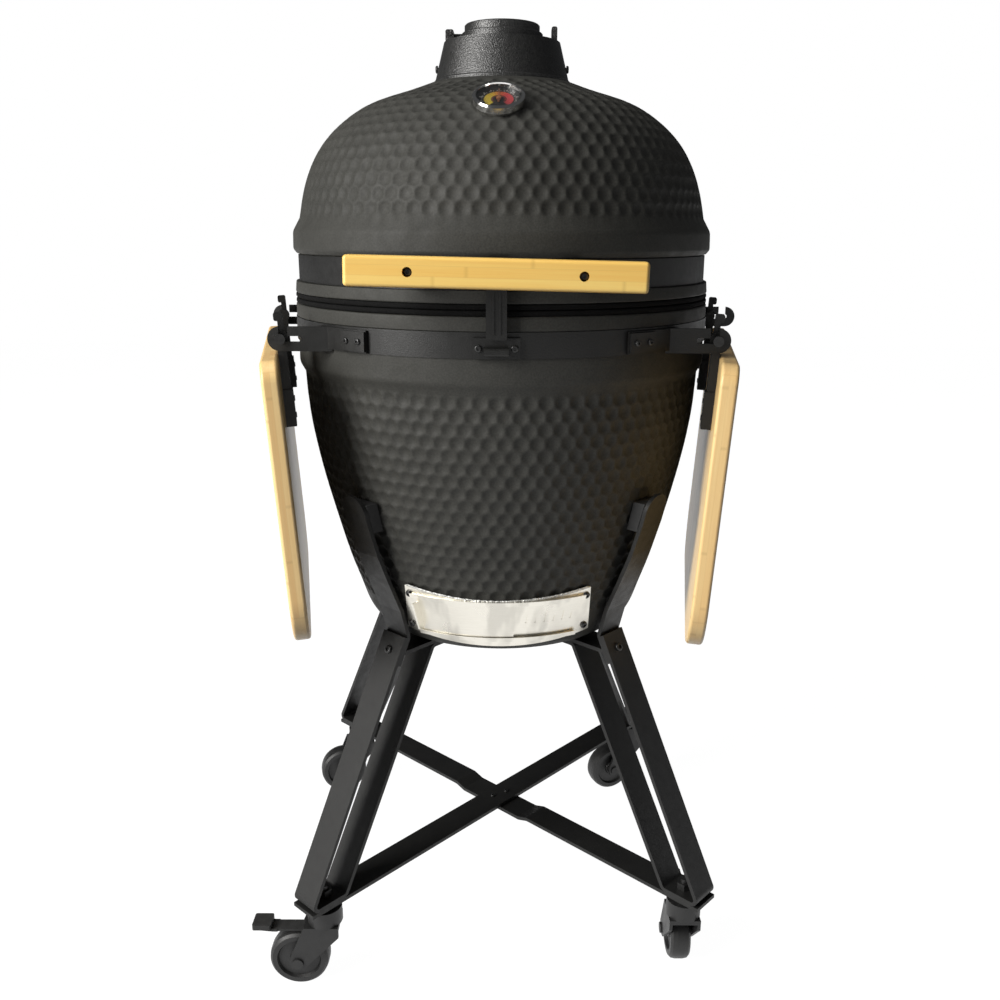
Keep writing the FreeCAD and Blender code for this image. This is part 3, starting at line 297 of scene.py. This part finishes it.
def dial_look():
    """Black dial with a ring from yellow at the lower left over orange to red at the lower right."""
    look = Look("dial_face", Roughness=0.5)
    spot = -(GAUGE_AXES @ GAUGE_POINT)
    x, y, z = look.axes(look.placed(GAUGE_AXES.to_euler(), spot))
    reach = look.math("SQRT", look.math("ADD", look.math("MULTIPLY", x, x), look.math("MULTIPLY", y, y)))
    angle = look.math("ARCTAN2", x, y)
    turn = look.span(angle, -math.radians(140), math.radians(140), 0.0, 1.0)
    yellow = ((0.0, (0.86, 0.66, 0.05)), (0.38, (0.86, 0.58, 0.04)))
    red = ((0.66, (0.72, 0.04, 0.05)), (1.0, (0.55, 0.05, 0.06)))
    rainbow = look.ramp(turn, *yellow, (0.50, (0.85, 0.20, 0.05)), *red)

    def between(value, lo, hi):
        return look.math("MULTIPLY", look.math("GREATER_THAN", value, lo), look.math("LESS_THAN", value, hi))

    def ticks(count, share):
        phase = look.math("FRACT", look.math("MULTIPLY", turn, count))
        return look.math("LESS_THAN", look.math("ABSOLUTE", look.math("SUBTRACT", phase, 0.5)), share)

    inside = between(angle, -math.radians(140), math.radians(140))
    band = look.math("MULTIPLY", between(reach, 0.0085, 0.0158), inside)
    gap = look.math("SUBTRACT", 1.0, look.math("MULTIPLY", ticks(22.0, 0.07), 0.7))
    colour = look.mix(look.math("MULTIPLY", band, gap), (0.012, 0.012, 0.012), rainbow)
    small_ring = look.math("MULTIPLY", between(reach, 0.0176, 0.0192), inside)
    small = look.math("MULTIPLY", small_ring, ticks(22.0, 0.10))
    colour = look.mix(small, colour, (0.75, 0.73, 0.68))
    large_ring = look.math("MULTIPLY", between(reach, 0.0186, 0.0215), inside)
    large = look.math("MULTIPLY", large_ring, ticks(11.0, 0.06))
    colour = look.mix(large, colour, (0.75, 0.73, 0.68))
    inner_ring = look.math("MULTIPLY", between(reach, 0.0066, 0.0076), inside)
    inner = look.math("MULTIPLY", inner_ring, ticks(30.0, 0.22))
    colour = look.mix(inner, colour, (0.55, 0.06, 0.05))
    look.set(Base_Color=colour)
    return look.mat


def glass_look():
    look = Look("gauge_glass", Base_Color=(1.0, 1.0, 1.0), Roughness=0.02, IOR=1.45, Transmission_Weight=1.0)
    return look.mat


def shelf_frame(joint_name):
    """Rotation and shift into a hanging board's own frame: X down it, Y along it, Z through it."""
    joint = joints[joint_name]
    along = Vector(joint["axis"])
    if along.y < 0:
        along = -along
    side = 1.0 if joint["pos_m"][0] > 0 else -1.0
    out = Vector((side * along.y, -side * along.x, 0.0))
    lean = math.radians(3.5)
    down = (Vector((0, 0, -1)) * math.cos(lean) - out * math.sin(lean)).normalized()
    normal = down.cross(along).normalized()
    turn = Matrix((down, along, normal))
    return turn.to_euler(), -(turn @ Vector(joint["pos_m"]))


BAMBOO_LIGHT = (0.96, 0.73, 0.35)
BAMBOO_DARK = (0.80, 0.49, 0.19)
looks = {
    "ceramic": ceramic_look(),
    "clay": bare_clay_look(),
    "felt": felt_look(),
    "band": coat_look("band_steel", (0.008, 0.008, 0.0075), 0.44, 700.0, 0.0003),
    "stand": coat_look("stand_steel", (0.013, 0.013, 0.0125), 0.50, 900.0, 0.0004),
    "cast": cast_look(),
    "stainless": brushed_look(),
    "bright": polished_look(),
    "foil": foil_look(),
    "iron": iron_look(),
    "dial": dial_look(),
    "glass": glass_look(),
    "needle": plain_look("needle_paint", (0.30, 0.11, 0.05), (0.42, 0.17, 0.08), 0.4, 300.0, 0.0001),
    "bolt": plain_look("bolt_black", (0.008, 0.008, 0.008), (0.018, 0.018, 0.018), 0.34, 900.0, 0.0002),
    "spring": plain_look("spring_steel", (0.25, 0.25, 0.25), (0.38, 0.38, 0.38), 0.35, 900.0, 0.0001,
                         Metallic=1.0),
    "plastic": plain_look("caster_plastic", (0.009, 0.009, 0.009), (0.016, 0.016, 0.016), 0.50, 700.0,
                          0.0002),
    "rubber": plain_look("pedal_rubber", (0.012, 0.012, 0.012), (0.022, 0.022, 0.022), 0.72, 500.0, 0.0004),
    "handle": bamboo_look("bamboo_handle", (0, math.radians(-1.2), 0), (0.03, 0.0, -0.0005), 0.0112, 0.0104,
                          (0.98, 0.73, 0.23), (0.88, 0.50, 0.10)),
    "board_left": bamboo_look("bamboo_left", *shelf_frame("shelf_left_fold"), 0.021, 0.0068, BAMBOO_LIGHT,
                              BAMBOO_DARK),
    "board_right": bamboo_look("bamboo_right", *shelf_frame("shelf_right_fold"), 0.021, 0.0068, BAMBOO_LIGHT,
                               BAMBOO_DARK),
}
corners = ("front_left", "front_right", "rear_right", "rear_left")
dressed = {
    "clay": ["firebox", "fire_ring"],
    "band": ["lower_band", "upper_band", "hinge_upper", "hinge_lower", "handle_brackets", "lid_latch",
             "latch_keeper", "shelf_brackets_left", "shelf_brackets_right", "bracket_clamps",
             "shelf_arms_left", "shelf_arms_right"],
    "stand": ["cart_cradle", "brace_a", "brace_b"] + ["leg_" + c for c in corners],
    "cast": ["vent_collar", "vent_cap", "vent_dial"],
    "stainless": ["draft_frame", "draft_door", "draft_screen"],
    "bright": ["gauge_bezel", "cooking_grid"],
    "iron": ["charcoal_grate"],
    "dial": ["gauge_dial"],
    "glass": ["gauge_glass"],
    "needle": ["gauge_needle"],
    "bolt": ["hinge_pin", "handle_bolts", "band_bolts", "vent_screws", "draft_bolts", "shelf_pins_left",
             "shelf_pins_right", "cart_bolts"],
    "spring": ["hinge_springs"],
    "plastic": ["fork_" + c for c in corners] + ["wheel_" + c for c in corners],
    "rubber": ["brake_front_left", "brake_front_right", "cart_pads"],
    "handle": ["handle_bar"],
    "board_left": ["shelf_board_left"],
    "board_right": ["shelf_board_right"],
}
for look_name, members in dressed.items():
    for member in members:
        for material_slot in nodes[member].material_slots:
            material_slot.material = looks[look_name]

# ---------------------------------------------------------------- mesh building


def mesh_piece(name, verts, faces, look, body, stands_for=()):
    mesh = bpy.data.meshes.new(name)
    mesh.from_pydata(verts, [], faces)
    mesh.polygons.foreach_set("use_smooth", [True] * len(mesh.polygons))
    mesh.materials.append(looks[look])
    mesh.update()
    piece = bpy.data.objects.new(name, mesh)
    bpy.context.scene.collection.objects.link(piece)
    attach(piece, body)
    if stands_for:
        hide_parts(*stands_for)
    return piece


def spline(points, step):
    """Natural cubic through the points, sampled about every `step`, with the distance run at each sample."""
    p = np.array(points, float)
    t = np.concatenate([[0.0], np.cumsum(np.hypot(*np.diff(p, axis=0).T))])
    h = np.diff(t)
    n = len(p)
    left = np.eye(n)
    right = np.zeros((n, 2))
    for i in range(1, n - 1):
        left[i, i - 1:i + 2] = h[i - 1], 2 * (h[i - 1] + h[i]), h[i]
        right[i] = 6 * ((p[i + 1] - p[i]) / h[i] - (p[i] - p[i - 1]) / h[i - 1])
    bend = np.linalg.solve(left, right)

    def at(u):
        i = np.clip(np.searchsorted(t, u) - 1, 0, n - 2)
        a = ((t[i + 1] - u) / h[i])[:, None]
        b = ((u - t[i]) / h[i])[:, None]
        hh = (h[i] ** 2)[:, None] / 6
        return a * p[i] + b * p[i + 1] + ((a ** 3 - a) * bend[i] + (b ** 3 - b) * bend[i + 1]) * hh

    dense = at(np.linspace(0, t[-1], 1500))
    run = np.concatenate([[0.0], np.cumsum(np.hypot(*np.diff(dense, axis=0).T))])
    count = max(2, int(round(run[-1] / step)) + 1)
    places = np.linspace(0, run[-1], count)
    return np.stack([np.interp(places, run, dense[:, k]) for k in (0, 1)], 1), places


def softened(corner, before, after, radius):
    """A few points that round off a corner of a profile."""
    p = np.array(corner, float)
    a = np.array(before, float) - p
    b = np.array(after, float) - p
    ta = a / np.linalg.norm(a) * min(radius, 0.45 * np.linalg.norm(a))
    tb = b / np.linalg.norm(b) * min(radius, 0.45 * np.linalg.norm(b))
    return [tuple(p + ta * (1 - f) ** 2 + tb * f ** 2) for f in (0.0, 0.25, 0.5, 0.75, 1.0)]


class Profile:
    """Closed profile of a turned part in mm: points, and the run along the dimpled stretch or None."""

    def __init__(self):
        self.items = []

    def corner(self, r, z, radius=0.0):
        self.items.append(("corner", (r, z), radius))

    def curve(self, points, step, dimpled=False):
        samples, run = spline(points, step)
        for k, sample in enumerate(samples):
            self.items.append(("curve", tuple(sample), run[k] if dimpled else None))

    def rows(self):
        out = []
        n = len(self.items)
        for i, (kind, point, extra) in enumerate(self.items):
            if kind == "curve" or extra == 0.0:
                out.append((*point, extra if kind == "curve" else None))
                continue
            before = self.items[i - 1][1]
            after = self.items[(i + 1) % n][1]
            for soft in softened(point, before, after, extra):
                out.append((*soft, None))
        return out


DIMPLE_PITCH = 17.9
ROW_PITCH = 15.45
DIMPLE_REACH = 8.5
DIMPLE_DEPTH = 2.3


def dimple_rows(radius_at, first, last, seed):
    """Rows of staggered dimples: place along the run, count, phase and small differences between dimples."""
    rng = np.random.default_rng(seed)
    rows = []
    place = first
    k = 0
    while place <= last:
        count = int(round(2 * math.pi * radius_at(place) / DIMPLE_PITCH))
        step = 2 * math.pi / count
        phase = -math.pi / 2 + (0.5 * step if k % 2 else 0.0)
        wobble = rng.uniform(-1, 1, (count, 4))
        rows.append((place, count, step, phase, wobble))
        place += ROW_PITCH
        k += 1
    return rows


def dimple_depth(run, radius, angles, rows):
    depth = np.zeros_like(angles)
    for place, count, step, phase, wobble in rows:
        if abs(run - place) > DIMPLE_REACH + 1.0:
            continue
        which = np.round((angles - phase) / step)
        own = wobble[which.astype(int) % count]
        across = radius * (angles - phase - which * step) + 0.35 * own[:, 0]
        up = run - place + 0.35 * own[:, 1]
        reach = DIMPLE_REACH * (1 + 0.035 * own[:, 2])
        inside = np.clip(1 - (across ** 2 + up ** 2) / reach ** 2, 0, None)
        depth = np.maximum(depth, DIMPLE_DEPTH * (1 + 0.10 * own[:, 3]) * inside)
    return depth


def turned_grid(profile, columns, first_row, last_row, seed):
    """Rows x columns x 3 array of points in mm, dimples pressed in along the profile's inward normal."""
    rows = profile.rows()
    rz = np.array([(r, z) for r, z, _ in rows])
    runs = [s for _, _, s in rows]
    angles = -math.pi / 2 + np.arange(columns) * 2 * math.pi / columns
    marked = [(s, r) for (r, _, s) in rows if s is not None]
    known_s = [s for s, _ in marked]
    known_r = [r for _, r in marked]
    pattern = dimple_rows(lambda s: float(np.interp(s, known_s, known_r)), first_row, last_row, seed)
    grid = np.zeros((len(rows), columns, 3))
    for i, (r, z) in enumerate(rz):
        radius = np.full(columns, r)
        height = np.full(columns, z)
        if runs[i] is not None:
            a = rz[max(i - 1, 0)]
            b = rz[min(i + 1, len(rz) - 1)]
            t = (b - a) / np.linalg.norm(b - a)
            inward = np.array([-t[1], t[0]])
            if inward[0] > 0:
                inward = -inward
            depth = dimple_depth(runs[i], r, angles, pattern)
            radius = radius + inward[0] * depth
            height = height + inward[1] * depth
        grid[i, :, 0] = radius * np.cos(angles)
        grid[i, :, 1] = radius * np.sin(angles)
        grid[i, :, 2] = height
    return grid, rows


def grid_faces(rows, columns, keep=None, close=True):
    faces = []
    for i in range(rows if close else rows - 1):
        i2 = (i + 1) % rows
        for j in range(columns):
            if keep is not None and not keep(i, j):
                continue
            j2 = (j + 1) % columns
            faces.append((i * columns + j, i * columns + j2, i2 * columns + j2, i2 * columns + j))
    return faces


CERAMIC_COLUMNS = 880
DIMPLE_STEP = ROW_PITCH / 9

# ---------------------------------------------------------------- ceramic lid

DOME = [(253.6, 954.6), (247.3, 985.2), (236.7, 1015.1), (218.9, 1043.9), (195.2, 1066.8), (166.4, 1084.9),
        (128.2, 1098.4), (90.0, 1112.0)]
lid = Profile()
lid.corner(233.0, 866.2, 2.5)
lid.corner(262.4, 866.2, 2.2)
lid.corner(261.2, 879.8, 1.0)
lid.corner(254.7, 879.8, 0.5)
lid.corner(254.7, 912.0, 0.5)
lid.corner(259.0, 913.0, 1.0)
lid.corner(263.0, 918.0, 2.2)
lid.corner(262.4, 939.0, 3.5)
lid.curve(DOME, DIMPLE_STEP, dimpled=True)
lid.corner(84.0, 1111.9)
lid.corner(60.0, 1111.9, 3.0)
lid.corner(60.0, 1092.0, 3.0)
lid.curve([(110.0, 1086.0), (150.0, 1072.0), (179.0, 1051.0), (201.0, 1026.0), (215.5, 998.0), (225.0, 966.0),
           (231.0, 930.0), (233.0, 880.0)], 14.0)
lid_run = spline(DOME, 5.0)[1][-1]
lid_grid, lid_rows = turned_grid(lid, CERAMIC_COLUMNS, 8.5, lid_run - 10.0, 5)

# Under the thermometer the glaze is ground flat, and its seat lies inside the bezel.
points = lid_grid.reshape(-1, 3)
local = (points * MM - np.array(GAUGE_POINT)) @ np.array(GAUGE_AXES).T
outer = np.hypot(points[:, 0], points[:, 1]) > 60.5
seat = (np.hypot(local[:, 0], local[:, 1]) < 0.0287) & (local[:, 2] > -0.0024) & outer & (local[:, 2] < 0.03)
local[seat, 2] = -0.0024
points = (local @ np.array(GAUGE_AXES) + np.array(GAUGE_POINT))
mesh_piece("lid_ceramic", points.tolist(), grid_faces(len(lid_rows), CERAMIC_COLUMNS), "ceramic", "lid",
           ["lid_shell"])

# ---------------------------------------------------------------- ceramic bowl

bowl_points = [(166.0, 433.2), (176.5, 443.0), (192.0, 477.0), (204.5, 513.0), (218.0, 560.0), (233.6, 620.0),
               (244.4, 670.0), (252.0, 720.0), (255.2, 768.4)]
WINDOW_LOW, WINDOW_HIGH = 461.0, 503.0
bowl = Profile()
bowl.corner(232.0, 853.2, 2.5)
bowl.corner(262.4, 853.2, 2.5)
bowl.corner(262.4, 837.6, 0.8)
bowl.corner(261.0, 837.6)
bowl.corner(261.0, 808.6)
bowl.corner(261.6, 780.0, 4.0)
bowl.curve(bowl_points[::-1], DIMPLE_STEP, dimpled=True)
bowl.corner(142.0, 425.0, 3.0)
bowl.corner(60.0, 425.0)
bowl.corner(60.0, 450.0)
bowl.corner(126.0, 450.0, 4.0)
bowl.corner(143.0, WINDOW_LOW + 0.5)
bowl.corner(156.0, 484.0)
bowl.corner(166.2, WINDOW_HIGH)
bowl.curve([(189.0, 560.0), (205.0, 620.0), (216.0, 670.0), (224.0, 720.0), (229.0, 770.0),
            (231.0, 810.0)], 16.0)
bowl_grid, bowl_rows = turned_grid(bowl, CERAMIC_COLUMNS, 9.3, 292.0, 9)

DRAFT_Z, DRAFT_R, DRAFT_SLOPE = 477.0, 192.5, 0.376


def draft_cone(z):
    return DRAFT_R + DRAFT_SLOPE * (z - DRAFT_Z)


def bowed(x, middle, end, half=114.0):
    return middle + (end - middle) * (x / half) ** 2


for i, (r, z, run) in enumerate(bowl_rows):
    if run is None or not 430.0 < z < 535.0:
        continue
    row = bowl_grid[i]
    x, y, high = row[:, 0], row[:, 1], row[:, 2]
    radius = np.hypot(x, y)
    cone = draft_cone(high)
    framed = (np.abs(x) < 114.5) & (y < 0) & (high < bowed(x, 511.0, 522.0)) & (high > bowed(x, 443.0, 454.0))
    sunk = np.where(framed, np.minimum(radius, cone - 0.35), radius)
    azimuth = np.degrees(np.arctan2(y, x))
    screened = (azimuth > -117.7) & (azimuth < -88.3) & (high > 457.8) & (high < 506.2)
    sunk = np.where(screened, np.minimum(sunk, cone - 3.9), sunk)
    row[:, 0] = x * sunk / radius
    row[:, 1] = y * sunk / radius

window_columns = [j for j in range(CERAMIC_COLUMNS)
                  if -115.0 <= math.degrees(math.atan2(bowl_grid[3, j, 1], bowl_grid[3, j, 0])) <= -91.0]
low_column, high_column = min(window_columns), max(window_columns)
in_window = [WINDOW_LOW - 0.6 <= row[1] <= WINDOW_HIGH + 0.6 for row in bowl_rows]
outer_rows = [i for i, row in enumerate(bowl_rows) if in_window[i] and row[2] is not None]
inner_rows = [i for i, row in enumerate(bowl_rows) if in_window[i] and row[2] is None]


def solid(i, j):
    open_column = low_column <= j < high_column
    open_row = (outer_rows[0] <= i < outer_rows[-1]) or (inner_rows[0] <= i < inner_rows[-1])
    return not (open_column and open_row)


# The profile runs down the outside and up the inside, so its first and last rows meet at the rim.
bowl_faces = grid_faces(len(bowl_rows), CERAMIC_COLUMNS, solid)
C = CERAMIC_COLUMNS
for j in range(low_column, high_column):
    top_out, top_in = outer_rows[0] * C, inner_rows[-1] * C
    low_out, low_in = outer_rows[-1] * C, inner_rows[0] * C
    bowl_faces.append((top_out + j, top_out + j + 1, top_in + j + 1, top_in + j))
    bowl_faces.append((low_out + j + 1, low_out + j, low_in + j, low_in + j + 1))
for j in (low_column, high_column):
    bowl_faces.append([i * C + j for i in outer_rows] + [i * C + j for i in inner_rows])
mesh_piece("bowl_ceramic", (bowl_grid.reshape(-1, 3) * MM).tolist(), bowl_faces, "ceramic", "base",
           ["base_shell"])

# ---------------------------------------------------------------- felt rings between lid and bowl


def felt_ring(name, z0, z1, body, node, seed):
    """A pressed felt strip: rounded edges that swell and pinch a little along its length."""
    columns, around = 540, 20
    rng = np.random.default_rng(seed)
    angles = np.arange(columns) * 2 * math.pi / columns
    counts = (5, 9, 14, 23, 37, 61)
    waves = sum(rng.uniform(0.2, 1.0) * np.sin(k * angles + rng.uniform(0, 6.28)) for k in counts)
    fuzz = rng.uniform(-0.12, 0.12, (around, columns))
    verts = []
    for k in range(around):
        a = 2 * math.pi * k / around
        ca, sa = math.cos(a), math.sin(a)
        r = 249.6 + 12.5 * math.copysign(abs(ca) ** 0.35, ca)
        z = 0.5 * (z0 + z1) + 0.5 * (z1 - z0) * math.copysign(abs(sa) ** 0.55, sa)
        swell = 0.16 * waves * (1 if ca > 0 else -1) * abs(ca) + fuzz[k]
        for j in range(columns):
            rr = min(r + swell[j], 262.5)
            verts.append((rr * math.cos(angles[j]) * MM, rr * math.sin(angles[j]) * MM, z * MM))
    faces = grid_faces(around, columns)
    return mesh_piece(name, verts, [f[::-1] for f in faces], "felt", body, [node])


felt_ring("felt_lower", 853.2, 859.6, "base", "base_gasket", 3)
felt_ring("felt_upper", 859.8, 866.2, "lid", "lid_gasket", 4)

# ------------------------------------------------------- crinkled gasket showing above the lower vent


def vent_gasket():
    rng = np.random.default_rng(12)
    count = 150
    xs = np.linspace(-113.5, 113.5, count)
    verts = []
    for k, x in enumerate(xs):
        top = bowed(x, 510.5, 521.5)
        rough = rng.uniform(-0.7, 0.7, 3)
        edge = min(1.0, (114.5 - abs(x)) / 5.0)
        for off, up in ((0.1, -2.0), (1.5 + 0.3 * rough[0], -1.0), (1.9 + 0.4 * rough[1], 1.2 * edge),
                        (1.1 + 0.3 * rough[2], (2.8 + 0.5 * rough[0]) * edge),
                        (0.0, (2.6 + 0.5 * rough[0]) * edge),
                        (-0.6, -2.0)):
            z = top + up
            r = draft_cone(z) + off
            verts.append((x * MM, -math.sqrt(r * r - x * x) * MM, z * MM))
    faces = []
    ring = 6
    for k in range(count - 1):
        for m in range(ring):
            m2 = (m + 1) % ring
            faces.append((k * ring + m, k * ring + m2, (k + 1) * ring + m2, (k + 1) * ring + m))
    faces.append([m for m in range(ring)][::-1])
    faces.append([(count - 1) * ring + m for m in range(ring)])
    mesh_piece("draft_gasket", verts, faces, "foil", "base")


vent_gasket()

# ---------------------------------------------------------------- floor, light and camera


def floor_look():
    look = Look("floor_pale", Roughness=0.9, Emission_Color=(1.0, 1.0, 1.0), Emission_Strength=0.985)
    look.set(Base_Color=look.ramp(look.noise(2.0, 3.0), (0.3, (0.07, 0.07, 0.07)), (0.7, (0.09, 0.09, 0.09))))
    return look.mat


half = 7.0
floor_mesh = bpy.data.meshes.new("studio_floor")
floor_z = -0.0003
floor_corners = [(-half, -half, floor_z), (half, -half, floor_z),
                 (half, half, floor_z), (-half, half, floor_z)]
floor_mesh.from_pydata(floor_corners, [], [(0, 1, 2, 3)])
floor_mesh.materials.append(floor_look())
floor = bpy.data.objects.new("studio_floor", floor_mesh)
bpy.context.scene.collection.objects.link(floor)
floor.visible_diffuse = False


def area_light(name, place, target, size, size_y, power, colour=(1, 1, 1)):
    data = bpy.data.lights.new(name, "AREA")
    data.shape = "RECTANGLE"
    data.size = size
    data.size_y = size_y
    data.energy = power
    data.color = colour
    lamp = bpy.data.objects.new(name, data)
    lamp.location = place
    lamp.rotation_euler = (Vector(target) - Vector(place)).to_track_quat("-Z", "Y").to_euler()
    bpy.context.scene.collection.objects.link(lamp)
    return lamp


area_light("window_left", (-2.45, -1.72, 1.85), (0, 0, 0.75), 1.4, 2.2, 155.0, (1.0, 0.985, 0.96))
area_light("overhead", (-0.8, -0.6, 3.0), (0, 0, 0.6), 1.6, 1.6, 16.0, (1.0, 0.99, 0.97))
area_light("fill_front", (1.2, -3.4, 1.0), (0, 0, 0.5), 2.0, 1.4, 2.5, (1.0, 0.97, 0.93))

world = bpy.data.worlds.new("studio")
world.use_nodes = True
tree = world.node_tree
tree.nodes.clear()
world_out = tree.nodes.new("ShaderNodeOutputWorld")
world_mix = tree.nodes.new("ShaderNodeMixShader")
seen = tree.nodes.new("ShaderNodeBackground")
lit = tree.nodes.new("ShaderNodeBackground")
rays = tree.nodes.new("ShaderNodeLightPath")
seen.inputs["Color"].default_value = (1.0, 1.0, 1.0, 1.0)
seen.inputs["Strength"].default_value = 1.0
lit.inputs["Color"].default_value = (0.95, 0.97, 1.0, 1.0)
lit.inputs["Strength"].default_value = 0.07
tree.links.new(rays.outputs["Is Camera Ray"], world_mix.inputs[0])
tree.links.new(lit.outputs[0], world_mix.inputs[1])
tree.links.new(seen.outputs[0], world_mix.inputs[2])
tree.links.new(world_mix.outputs[0], world_out.inputs["Surface"])
bpy.context.scene.world = world
bpy.context.scene.view_settings.view_transform = "Standard"

CAMERA_DISTANCE = 1.301
CAMERA_HEIGHT = 0.9427
CAMERA_PITCH = 15.53
CAMERA_ROLL = 0.19
CAMERA_TURN = 1.05
camera_data = bpy.data.cameras.new("camera")
camera_data.sensor_width = 36.0
camera_data.lens = 35.17
camera_data.clip_start = 0.05
camera = bpy.data.objects.new("camera", camera_data)
turn = math.radians(CAMERA_TURN)
aim = Matrix.Rotation(turn + math.radians(0.035), 4, "Z")
aim = aim @ Matrix.Rotation(math.radians(90.0 - CAMERA_PITCH), 4, "X")
aim = aim @ Matrix.Rotation(math.radians(CAMERA_ROLL), 4, "Z")
camera.matrix_world = Matrix.Translation(
    (CAMERA_DISTANCE * math.sin(turn), -CAMERA_DISTANCE * math.cos(turn), CAMERA_HEIGHT)) @ aim
bpy.context.scene.collection.objects.link(camera)
bpy.context.scene.camera = camera
